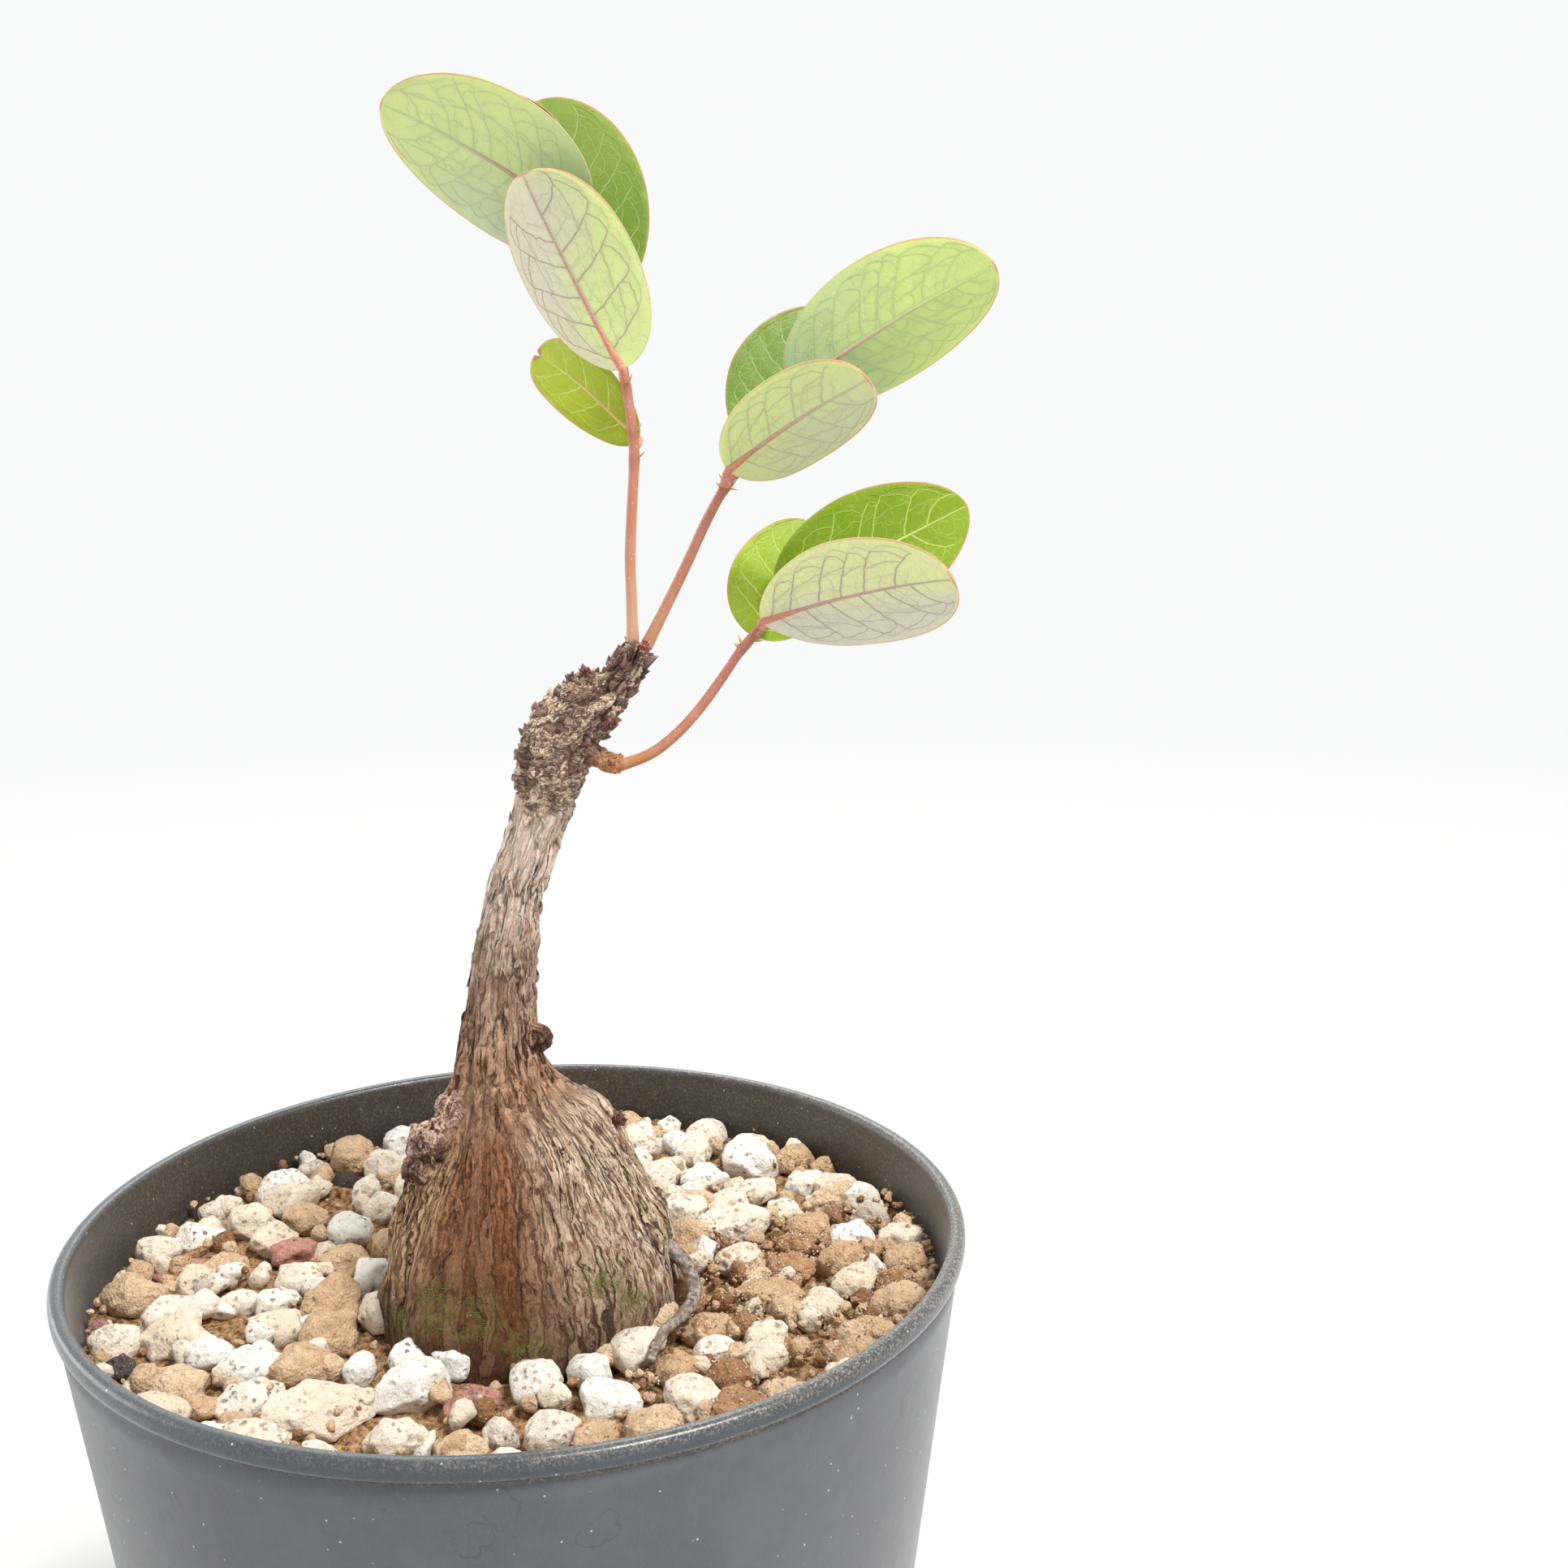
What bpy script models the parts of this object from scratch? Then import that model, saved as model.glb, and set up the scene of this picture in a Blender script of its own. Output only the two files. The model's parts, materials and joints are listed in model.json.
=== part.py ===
"""Potted phyllanthus: a swollen caudex with three leafy stems, in a round plastic nursery pot.

The frame has +Z up and its origin at the centre of the pot's underside.
Sizes are written in millimetres and become metres when a mesh or a curve is made.
"""

import math
import random
from collections import namedtuple

import bmesh
import bpy
from mathutils import Matrix, Quaternion, Vector, noise

MM = 0.001
SEED = 7
GAP = 0.3

# Pot: a tapered wall with a rolled rim and a flat floor
POT_HEIGHT = 95.0
RIM_RADIUS = 52.5
RIM_DEPTH = 2.4
RIM_OVERHANG = 0.65
WALL_TAPER = 0.128
WALL_THICKNESS = 1.3
FLOOR_THICKNESS = 2.0
POT_SIDES = 48
DRAIN_HOLES = 6
DRAIN_RADIUS = 3.0
DRAIN_CIRCLE = 26.0
DRAIN_SIDES = 10

# Potting mix: a core with loose stones sunk into its top. Shares are of a stone's length or radius
GRIT_LEVEL = 86.9
STONE_ROUGHNESS = 0.13
STONE_TILT = 0.25
LARGE_STONE_WIDTH = 0.78
LARGE_STONE_ROOT = 2.2
LARGE_STONE_ROOM = 0.42
SMALL_STONE_RISE = 0.35
SMALL_STONE_SHAPE = (1.1, 0.95, 0.8)

# Caudex and trunk: x, y, z of the middle line, then the radius
TRUNK_STATIONS = [
    (2.2, -6.5, 50.0, 1.4),
    (2.2, -6.5, 60.0, 3.6),
    (2.2, -6.5, 68.0, 8.6),
    (2.1, -6.5, 75.0, 14.2),
    (2.1, -6.5, 82.0, 16.7),
    (2.1, -6.5, 89.0, 17.2),
    (2.0, -6.5, 93.2, 16.8),
    (1.6, -6.6, 98.2, 15.3),
    (1.3, -6.7, 103.1, 12.9),
    (0.9, -6.8, 108.0, 10.6),
    (0.2, -6.9, 111.5, 8.0),
    (-0.2, -7.0, 115.0, 5.9),
    (-0.3, -7.0, 119.0, 4.6),
    (0.1, -7.0, 124.0, 3.7),
    (0.9, -7.0, 130.0, 3.4),
    (2.3, -7.0, 137.0, 3.0),
    (4.2, -7.0, 142.5, 2.8),
    (5.8, -7.0, 147.0, 3.1),
    (6.9, -7.0, 151.0, 3.7),
    (8.3, -7.0, 154.4, 3.7),
    (10.6, -7.0, 157.0, 3.3),
    (13.4, -7.0, 158.9, 2.6),
    (15.5, -7.0, 161.2, 1.9),
    (16.8, -7.0, 164.1, 1.7),
]
TRUNK_HOLE_GAP = 0.4
TRUNK_SIDES = 26
TRUNK_RINGS = 48
BARK_RIDGES = 9
BARK_DEPTH = 0.55
RIDGE_SHARE, ROUGH_SHARE = 0.6, 0.9
RIDGE_DRIFT, RIDGE_RUN = 6.4, 16.0
ROUGH_GRAIN, ROUGH_RUN = 3.0, 5.0
BARK_FROM, BARK_FULL = 84.0, 92.0
THIN_BARK, THICK_TRUNK = 0.35, 18.0
FLUTES_START, FLUTES_FULL, FLUTES_FADE, FLUTES_END = 100.0, 110.0, 114.0, 122.0
FLUTES, FLUTE_DEPTH, FLUTE_TURN = 4, 0.07, 0.6
CROWN_FROM = 146.0
CROWN_DEPTH = 0.5

# Lumps that grow from the bark: x, y, z, then half sizes along x, y, z
BARK_LUMPS = [
    (-5.3, -10.6, 112.4, 1.9, 1.9, 2.6),
    (-8.0, -12.2, 109.4, 2.2, 2.1, 2.6),
    (-9.0, -12.8, 106.6, 1.7, 1.6, 1.8),
    (4.6, -7.6, 119.9, 1.6, 1.3, 1.6),
    (5.0, -5.6, 149.2, 1.6, 2.2, 1.8),
    (6.2, -9.2, 154.2, 1.7, 1.7, 1.8),
]
BURL_ROUGHNESS = 0.12
BUD_TUFT = (10.2, -0.4, 107.2)
SHOULDER_BUDS = (-9.6, -13.4, 109.6)

BURL_TURN = 0.4
TUFT_BUDS, TUFT_SPREAD, BUD_LENGTH, BUD_RADIUS = 5, 0.9, 1.9, 0.6
TUFT_WAY = (0.6, 0.5, 0.7)
SHOULDER_BUDS_WAY = (-0.6, -0.8, 0.2)

CROWN_SCALES = 34
CROWN_CROWDING = 0.75
SCALES_FROM = 150.0
SCALE_LENGTH = 2.1
SCALE_RADIUS = 0.75
THORN_SINK = 1.0 / 3.0
THORN_POINT = 0.1

SPUR_ROUTE = [(9.0, -7.6, 153.9), (11.0, -8.4, 152.6), (12.8, -8.8, 151.5), (14.6, -9.0, 151.2)]
SPUR_RADIUS = 1.15
SPUR_FOOT_RADIUS = 1.5
SPUR_POINTS = 6
# Scales on the spur: foot, then direction
SPUR_SCALES = [
    ((13.6, -9.2, 152.2), (0.5, -0.3, 1.0)),
    ((13.4, -9.6, 150.8), (0.4, -0.8, -0.6)),
    ((11.8, -9.2, 153.0), (0.0, -0.6, 1.0)),
    ((12.4, -8.2, 150.9), (0.2, 0.1, -1.0)),
]

ROOT_ROUTE = [
    (17.6, -7.0, 94.4),
    (19.9, -8.4, 92.9),
    (20.8, -10.6, 91.6),
    (21.0, -13.0, 91.0),
    (19.9, -16.2, 90.6),
    (18.3, -19.0, 90.4),
    (17.4, -21.6, 90.0),
    (17.0, -24.0, 89.4),
]
ROOT_RADIUS, ROOT_END_RADIUS = 0.94, 0.49
ROOT_POINTS = 14

# Stems: their middle lines from the crown outwards
STEM_RADIUS, STEM_END_RADIUS = 0.62, 0.47
TUBE_RESOLUTION, STALK_RESOLUTION = 2, 1
STEM_POINT_SPACING = 2.6
STEM_ROUTES = {
    "stem_left": [
        (16.0, -7.0, 164.9),
        (16.0, -7.0, 168.5),
        (16.0, -7.0, 173.0),
        (16.3, -6.8, 178.0),
        (16.7, -6.4, 184.0),
        (16.4, -6.2, 188.1),
        (15.9, -6.0, 192.0),
        (15.3, -5.6, 197.4),
        (14.3, -5.2, 202.0),
        (13.4, -5.0, 205.2),
    ],
    "stem_middle": [
        (18.0, -7.0, 164.7),
        (19.9, -7.0, 168.3),
        (22.0, -7.0, 172.4),
        (24.1, -7.0, 176.7),
        (26.0, -7.0, 180.0),
        (28.1, -6.9, 182.6),
        (30.4, -6.6, 185.2),
        (32.4, -6.4, 187.9),
    ],
    "stem_right": [
        (15.3, -9.0, 151.4),
        (17.7, -9.2, 152.3),
        (20.6, -9.4, 154.5),
        (23.2, -9.4, 157.3),
        (25.4, -9.2, 160.2),
        (27.4, -8.8, 163.0),
        (29.3, -8.2, 165.1),
        (30.7, -7.7, 166.5),
    ],
}
# Thorn-like stipules stand in pairs at these points: x, y, z, direction in degrees in the x-z plane
STIPULES = {
    "stem_left": [(16.9, -6.4, 183.4, 20), (16.8, -6.3, 186.0, 40), (16.1, -6.2, 190.8, 60)],
    "stem_middle": [(26.2, -7.0, 180.7, -35), (26.0, -7.0, 180.6, 120)],
    "stem_right": [(27.8, -8.7, 163.6, 115), (28.6, -8.4, 164.7, -20)],
}
STIPULE_LENGTH = 1.3
STIPULE_RADIUS = 0.32
STIPULE_FORWARD = -0.35

# Leaves. A blade runs from its base to its tip. Its upper face looks to the front (FRONT) or to the
# back (BACK), turned by roll about the midrib. Its halves rise by fold towards the upper face, arch
# bows the midrib to that face and bow sideways. The outline is fullest past the middle if lean > 1.
FRONT, BACK = -1.0, 1.0
BLADE_THICKNESS = 0.62
BLADE_ROWS = 11
BLADE_COLUMNS = 4
STALK_RADII = (0.48, 0.48, 0.48, 0.41, 0.24)
STALK_SHARES = (0.04, 0.11, 0.22)
STALK_UNDER = 0.2
Leaf = namedtuple("Leaf", "name root base tip width upper roll fold arch bow fullness lean")
LEAVES = [
    Leaf("leaf_left_1", (16.9, -5.1, 184.8), (17.0, -4.2, 185.3), (6.0, 0.6, 194.6),
         7.4, FRONT, 15, 7, 1.3, -0.9, 2.4, 1.18),
    Leaf("leaf_left_2", (15.9, -7.3, 191.7), (15.9, -7.8, 192.6), (6.9, -12.4, 211.7),
         14.4, BACK, 26, 18, 0.5, -0.7, 2.1, 1.01),
    Leaf("leaf_left_3", (15.1, -4.3, 197.3), (14.3, -3.3, 198.9), (6.6, 6.5, 221.2),
         13.9, FRONT, -5, 7, -0.4, -1.1, 2.03, 1.15),
    Leaf("leaf_left_4", (13.2, -5.9, 205.6), (12.3, -6.3, 207.0), (-8.3, -4.6, 219.6),
         16.0, BACK, 32, 2, 0.3, 0.8, 1.97, 0.79),
    Leaf("leaf_left_5", (13.5, -4.3, 205.7), (13.2, -3.5, 206.8), (-1.6, 1.8, 220.6),
         10.9, FRONT, 20, 7, 0.5, -1.0, 1.65, 1.08),
    Leaf("leaf_middle_1", (26.2, -8.2, 180.9), (26.6, -8.7, 182.2), (41.0, -14.9, 191.3),
         10.8, BACK, -24, 3, 0.0, -0.5, 2.3, 1.08),
    Leaf("leaf_middle_2", (28.7, -5.8, 182.9), (29.1, -4.8, 183.8), (36.6, 3.0, 198.9),
         11.1, FRONT, 6, 7, 0.2, 0.6, 1.76, 0.92),
    Leaf("leaf_middle_3", (32.6, -6.4, 188.4), (33.2, -6.5, 190.1), (54.4, -8.2, 202.5),
         14.4, BACK, -21, 11, 0.8, -0.4, 2.06, 0.99),
    Leaf("leaf_right_1", (28.9, -7.4, 164.5), (29.0, -6.4, 164.4), (35.0, 0.2, 176.2),
         11.1, FRONT, 0, 5, 0.4, 0.0, 1.8, 0.83),
    Leaf("leaf_right_2", (29.8, -9.2, 166.0), (29.9, -9.8, 166.5), (49.3, -19.0, 171.5),
         14.9, BACK, -34, 0, 0.2, -0.6, 2.08, 1.25),
    Leaf("leaf_right_3", (31.0, -7.3, 167.0), (31.5, -6.4, 168.5), (52.2, -2.1, 177.8),
         13.7, FRONT, 4, 5, 0.7, -0.1, 1.83, 0.90),
]

# Larger stones of the mix where they lie: x, y, length, height above the mix, turn in degrees
LARGE_STONES = [
    (-45.0, 13.7, 8.6, 2.0, 8), (-41.3, 2.7, 8.2, 2.2, 10), (-41.8, 19.6, 6.6, 2.6, 40),
    (-35.1, 26.5, 9.0, 2.8, 0), (-28.1, 29.4, 5.4, 1.8, 60), (-23.6, 24.3, 5.6, 3.0, 80),
    (-34.5, 34.5, 5.6, 2.2, 20), (-39.2, -8.9, 7.4, 3.2, 30), (-36.2, -14.8, 9.6, 3.4, -20),
    (-40.6, -21.0, 5.2, 2.4, 0), (-34.2, -24.9, 9.0, 3.2, 10), (-27.1, -20.6, 8.2, 2.6, 15),
    (-25.4, -27.2, 8.4, 2.4, 12), (-26.1, -12.3, 8.0, 3.2, 35), (-31.7, -5.1, 5.8, 2.4, -10),
    (-20.3, -9.0, 8.6, 5.2, 75), (-8.2, -26.8, 9.4, 4.2, 20), (-14.6, -21.9, 5.2, 3.2, 80),
    (-1.6, -29.2, 7.4, 2.6, 12), (-17.2, -30.4, 11.4, 3.8, 25), (-22.6, -35.2, 8.6, 3.0, 15),
    (-26.0, -34.8, 6.0, 2.4, -25), (-7.2, -36.4, 7.4, 3.4, 10), (7.8, -35.4, 7.4, 3.4, -10),
    (3.4, -40.6, 5.6, 2.6, 20), (12.9, -28.6, 7.6, 3.0, -12), (23.2, -20.2, 6.0, 3.6, 10),
    (29.4, -16.6, 6.2, 3.4, 30), (28.8, -6.6, 9.0, 3.2, 12), (26.2, 2.4, 7.2, 3.0, 0),
    (21.4, 4.0, 5.0, 3.6, 85), (26.6, 31.8, 9.6, 4.4, -15), (36.4, 18.7, 6.0, 3.6, 20),
    (39.4, 8.1, 7.6, 3.6, 35), (41.8, 0.8, 5.2, 2.2, 0), (42.4, 14.8, 6.0, 2.6, -30),
    (33.0, 6.4, 6.4, 3.0, 5), (24.8, 11.8, 10.4, 3.4, 15), (31.4, 15.9, 6.2, 3.0, -20),
    (15.3, 45.4, 5.0, 3.0, 80), (17.4, 20.8, 5.2, 3.2, 0), (16.0, 30.9, 6.2, 2.6, 0),
    (33.6, 25.8, 6.6, 2.6, 0), (38.6, 24.4, 7.4, 3.0, -15), (44.4, -4.3, 6.4, 3.0, 0),
]
BIG_STONE = 8.5
SMALL_STONE_TRIES = 2400
SMALL_STONE_RADIUS = (2.8, 3.9)
SMALL_STONE_OVERLAP = 0.80

DEFAULT_SHARP, BARK_SHARP, STONE_SHARP = 40.0, 60.0, 25.0

# Linear colour and roughness
COLOURS = {
    "pot": ((0.115, 0.122, 0.140), 0.55),
    "grit": ((0.640, 0.520, 0.370), 0.95),
    "bark": ((0.300, 0.200, 0.125), 0.92),
    "stem": ((0.480, 0.160, 0.110), 0.50),
    "leaf_upper": ((0.220, 0.420, 0.040), 0.42),
    "leaf_under": ((0.500, 0.600, 0.270), 0.55),
}


def clear_scene():
    for thing in list(bpy.data.objects):
        bpy.data.objects.remove(thing, do_unlink=True)


def new_collection(name):
    collection = bpy.data.collections.new(name)
    bpy.context.scene.collection.children.link(collection)
    return collection


def material(kind):
    colour, roughness = COLOURS[kind]
    made = bpy.data.materials.new(kind)
    made.use_nodes = True
    shader = made.node_tree.nodes["Principled BSDF"]
    shader.inputs["Base Color"].default_value = (*colour, 1.0)
    shader.inputs["Roughness"].default_value = roughness
    return made


def metres(point):
    return Vector(point) * MM


def mesh_object(name, points, faces, collection):
    """Makes a mesh object from points in millimetres."""
    mesh = bpy.data.meshes.new(name)
    mesh.from_pydata([metres(point) for point in points], [], faces)
    made = bpy.data.objects.new(name, mesh)
    collection.objects.link(made)
    return made


def from_bmesh(name, shape, collection):
    mesh = bpy.data.meshes.new(name)
    shape.to_mesh(mesh)
    shape.free()
    made = bpy.data.objects.new(name, mesh)
    collection.objects.link(made)
    return made


def bake_modifiers(made):
    """Replaces an object's mesh by its evaluated mesh and drops its modifiers."""
    depsgraph = bpy.context.evaluated_depsgraph_get()
    mesh = bpy.data.meshes.new_from_object(made.evaluated_get(depsgraph))
    made.modifiers.clear()
    made.data = mesh


def connected_faces(first):
    """All faces that hang together with one face."""
    found = {first}
    waiting = [first]
    while waiting:
        face = waiting.pop()
        for edge in face.edges:
            for near in edge.link_faces:
                if near not in found:
                    found.add(near)
                    waiting.append(near)
    return found


def keep_outer_body(made):
    """Keeps the largest shell, which fills sealed hollows and drops loose scraps."""
    shape = bmesh.new()
    shape.from_mesh(made.data)
    left = set(shape.faces)
    shells = []
    while left:
        shell = connected_faces(next(iter(left)))
        left -= shell
        shells.append(shell)
    shells.sort(key=len)
    for shell in shells[:-1]:
        bmesh.ops.delete(shape, geom=list(shell), context="FACES")
    shape.to_mesh(made.data)
    shape.free()


def combine(made, pieces, operation):
    """Joins all objects of a collection to one object, or cuts them from it, and removes them."""
    boolean = made.modifiers.new(operation.lower(), "BOOLEAN")
    boolean.operation = operation
    boolean.operand_type = "COLLECTION"
    boolean.collection = pieces
    boolean.solver = "EXACT"
    bake_modifiers(made)
    keep_outer_body(made)
    for piece in list(pieces.objects):
        bpy.data.objects.remove(piece, do_unlink=True)
    bpy.data.collections.remove(pieces)


def finish(made, kind_material, smooth_angle=DEFAULT_SHARP):
    """Gives an object its material and shades it smooth up to an angle in degrees."""
    made.data.materials.clear()
    made.data.materials.append(kind_material)
    made.data.shade_smooth()
    made.data.set_sharp_from_angle(angle=math.radians(smooth_angle))


def revolve(name, profile, steps, collection):
    """Turns a profile of (radius, height) points, inside first, about the Z axis."""
    points = [(radius, 0.0, height) for radius, height in profile]
    edges = [(i, i + 1) for i in range(len(points) - 1)]
    mesh = bpy.data.meshes.new(name)
    mesh.from_pydata([metres(point) for point in points], edges, [])
    made = bpy.data.objects.new(name, mesh)
    collection.objects.link(made)
    screw = made.modifiers.new("turn", "SCREW")
    screw.steps = steps
    screw.render_steps = steps
    screw.use_merge_vertices = True
    screw.merge_threshold = 0.00001
    bake_modifiers(made)
    return made


def tube(name, points, radii, collection, resolution=TUBE_RESOLUTION):
    """Makes a round rod with closed ends along points, as one welded mesh."""
    curve = bpy.data.curves.new(name, "CURVE")
    curve.dimensions = "3D"
    curve.bevel_depth = MM
    curve.bevel_resolution = resolution
    curve.use_fill_caps = True
    spline = curve.splines.new("POLY")
    spline.points.add(len(points) - 1)
    for spot, point, radius in zip(spline.points, points, radii):
        spot.co = (*metres(point), 1.0)
        spot.radius = radius
    rod = bpy.data.objects.new(name + "_curve", curve)
    collection.objects.link(rod)
    bpy.context.view_layer.update()
    depsgraph = bpy.context.evaluated_depsgraph_get()
    mesh = bpy.data.meshes.new_from_object(rod.evaluated_get(depsgraph))
    shape = bmesh.new()
    shape.from_mesh(mesh)
    bmesh.ops.remove_doubles(shape, verts=shape.verts, dist=0.000001)
    made = from_bmesh(name, shape, collection)
    made.matrix_world = rod.matrix_world
    bpy.data.objects.remove(rod, do_unlink=True)
    return made


def lump(name, middle, sizes, turn, detail, jitter, chance, collection):
    """Makes a rough stone or knob: an icosphere whose corners are moved in or out at random."""
    shape = bmesh.new()
    bmesh.ops.create_icosphere(shape, subdivisions=detail, radius=1.0)
    for corner in shape.verts:
        corner.co *= 1.0 + chance.uniform(-jitter, jitter)
    tilt = chance.uniform(-STONE_TILT, STONE_TILT)
    spin = Matrix.Rotation(turn, 4, "Z") @ Matrix.Rotation(tilt, 4, "Y")
    place = Matrix.Translation(metres(middle)) @ spin @ Matrix.Diagonal((*metres(sizes), 1.0))
    shape.transform(place)
    return from_bmesh(name, shape, collection)


def thorn(name, foot, direction, length, radius, collection):
    """Makes a four-sided pointed scale that stands on foot and is sunk by part of its length."""
    shape = bmesh.new()
    bmesh.ops.create_cone(shape, cap_ends=True, segments=4, radius1=radius * MM,
                          radius2=THORN_POINT * radius * MM, depth=length * MM)
    aim = Vector(direction).normalized()
    turn = Vector((0.0, 0.0, 1.0)).rotation_difference(aim).to_matrix().to_4x4()
    middle = Vector(foot) + aim * (length * (0.5 - THORN_SINK))
    shape.transform(Matrix.Translation(metres(middle)) @ turn)
    return from_bmesh(name, shape, collection)


def evenly(start, end, count):
    """Count numbers at even steps from start to end."""
    return [start + (end - start) * step / (count - 1) for step in range(count)]


def smooth_step(value, low, high):
    """Rises from 0 at low to 1 at high, with level ends."""
    share = min(max((value - low) / (high - low), 0.0), 1.0)
    return share * share * (3.0 - 2.0 * share)


def spline_point(stations, place):
    """Reads a Catmull-Rom curve through equally long tuples at a fractional station number."""
    index = min(int(place), len(stations) - 2)
    share = place - index
    before = stations[max(index - 1, 0)]
    start, end = stations[index], stations[index + 1]
    after = stations[min(index + 2, len(stations) - 1)]
    values = []
    for a, b, c, d in zip(before, start, end, after):
        bend = 2 * a - 5 * b + 4 * c - d
        twist = 3 * b - a - 3 * c + d
        values.append(0.5 * (2 * b + (c - a) * share + bend * share**2 + twist * share**3))
    return values


def even_points(stations, count):
    """Reads count points at even distances along the curve through the stations."""
    fine = 20
    dense = [spline_point(stations, i / fine) for i in range((len(stations) - 1) * fine + 1)]
    run = [0.0]
    for first, second in zip(dense, dense[1:]):
        run.append(run[-1] + (Vector(second[:3]) - Vector(first[:3])).length)
    points = []
    index = 0
    for step in range(count):
        wanted = run[-1] * step / (count - 1)
        while index < len(run) - 2 and run[index + 1] < wanted:
            index += 1
        share = (wanted - run[index]) / (run[index + 1] - run[index])
        points.append([a + (b - a) * share for a, b in zip(dense[index], dense[index + 1])])
    return points


def wall_radius(height):
    """The outer radius of the pot's wall at a height."""
    top = RIM_RADIUS - RIM_OVERHANG
    return top - WALL_TAPER * (POT_HEIGHT - RIM_DEPTH - height)


def pot_profile():
    inner_floor = wall_radius(FLOOR_THICKNESS) - WALL_THICKNESS
    lip = POT_HEIGHT - RIM_DEPTH
    inner_lip = wall_radius(lip) - WALL_THICKNESS
    return [
        (0.0, FLOOR_THICKNESS),
        (inner_floor - 1.5, FLOOR_THICKNESS),
        (inner_floor, FLOOR_THICKNESS + 1.5),
        (inner_lip, lip),
        (inner_lip, POT_HEIGHT - 0.7),
        (inner_lip + 0.5, POT_HEIGHT),
        (RIM_RADIUS - 0.6, POT_HEIGHT),
        (RIM_RADIUS, POT_HEIGHT - 0.6),
        (RIM_RADIUS, lip + 0.5),
        (RIM_RADIUS - 0.5, lip),
        (wall_radius(lip), lip),
        (wall_radius(1.2), 1.2),
        (wall_radius(0.0) - 1.1, 0.0),
        (0.0, 0.0),
    ]


def make_pot(parts):
    pot = revolve("pot", pot_profile(), POT_SIDES, parts)
    holes = new_collection("pot_cutters")
    for number in range(DRAIN_HOLES):
        angle = 2 * math.pi * number / DRAIN_HOLES
        shape = bmesh.new()
        bmesh.ops.create_cone(shape, cap_ends=True, segments=DRAIN_SIDES, radius1=DRAIN_RADIUS * MM,
                              radius2=DRAIN_RADIUS * MM, depth=4 * FLOOR_THICKNESS * MM)
        spot = (DRAIN_CIRCLE * math.cos(angle), DRAIN_CIRCLE * math.sin(angle), 0.0)
        shape.transform(Matrix.Translation(metres(spot)))
        from_bmesh("drain_%d" % number, shape, holes)
    combine(pot, holes, "DIFFERENCE")
    finish(pot, material("pot"))


def bark_factor(angle, height):
    """How far the bark stands out at an angle and height, as a share of its depth."""
    way = Vector((math.cos(angle), math.sin(angle), 0.0))
    drift = RIDGE_DRIFT * noise.noise(way + Vector((0.0, 0.0, height / RIDGE_RUN)))
    ridge = math.sin(BARK_RIDGES * angle + drift)
    rough = noise.noise(way * ROUGH_GRAIN + Vector((0.0, 0.0, height / ROUGH_RUN)))
    return RIDGE_SHARE * ridge + ROUGH_SHARE * rough


def trunk_radius(base_radius, angle, height):
    """The trunk's radius with bark ridges and, where the caudex narrows, shallow flutes."""
    relief = BARK_DEPTH * smooth_step(height, BARK_FROM, BARK_FULL)
    relief *= min(1.0, THIN_BARK + base_radius / THICK_TRUNK)
    if height > CROWN_FROM:
        relief = CROWN_DEPTH
    shoulder = smooth_step(height, FLUTES_START, FLUTES_FULL)
    shoulder *= 1.0 - smooth_step(height, FLUTES_FADE, FLUTES_END)
    flutes = FLUTE_DEPTH * base_radius * shoulder * math.sin(FLUTES * angle + FLUTE_TURN)
    return base_radius + relief * bark_factor(angle, height) + flutes


def trunk_rings(extra=0.0, relief=True):
    """Rings of points square to the trunk's middle line."""
    line = even_points(TRUNK_STATIONS, TRUNK_RINGS)
    rings = []
    across = Vector((1.0, 0.0, 0.0))
    for index, (x, y, z, radius) in enumerate(line):
        ahead = Vector(line[min(index + 1, TRUNK_RINGS - 1)][:3])
        behind = Vector(line[max(index - 1, 0)][:3])
        along = (ahead - behind).normalized()
        across = (across - along * across.dot(along)).normalized()
        deep = along.cross(across)
        ring = []
        for side in range(TRUNK_SIDES):
            angle = 2 * math.pi * side / TRUNK_SIDES
            reach = trunk_radius(radius, angle, z) if relief else radius
            way = across * math.cos(angle) + deep * math.sin(angle)
            ring.append(Vector((x, y, z)) + way * (reach + extra))
        rings.append(ring)
    return rings


def loft(name, rings, collection):
    """Joins closed rings of equal length into a solid with flat ends."""
    sides = len(rings[0])
    points = [point for ring in rings for point in ring]
    faces = [tuple(reversed(range(sides)))]
    for row in range(len(rings) - 1):
        for side in range(sides):
            a = row * sides + side
            b = row * sides + (side + 1) % sides
            faces.append((a, b, b + sides, a + sides))
    last = (len(rings) - 1) * sides
    faces.append(tuple(range(last, last + sides)))
    return mesh_object(name, points, faces, collection)


def add_crown_scales(pieces, chance):
    """Stands pointed bud scales round the crown, closer together towards its tip."""
    line = even_points(TRUNK_STATIONS, 200)
    crown = [point for point in line if point[2] > SCALES_FROM]
    golden = math.pi * (3.0 - math.sqrt(5.0))
    for number in range(CROWN_SCALES):
        share = ((number + 0.5) / CROWN_SCALES) ** CROWN_CROWDING
        index = min(int(share * len(crown)), len(crown) - 2)
        x, y, z, radius = crown[index]
        along = (Vector(crown[index + 1][:3]) - Vector(crown[index][:3])).normalized()
        across = (Vector((0, 1, 0)) - along * along.y).normalized()
        outward = Quaternion(along, number * golden) @ across
        lean = along * chance.uniform(0.3, 0.9)
        length = SCALE_LENGTH * chance.uniform(0.75, 1.15)
        foot = Vector((x, y, z)) + outward * radius * 0.95
        thorn("scale", foot, outward + lean, length, SCALE_RADIUS, pieces)


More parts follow.
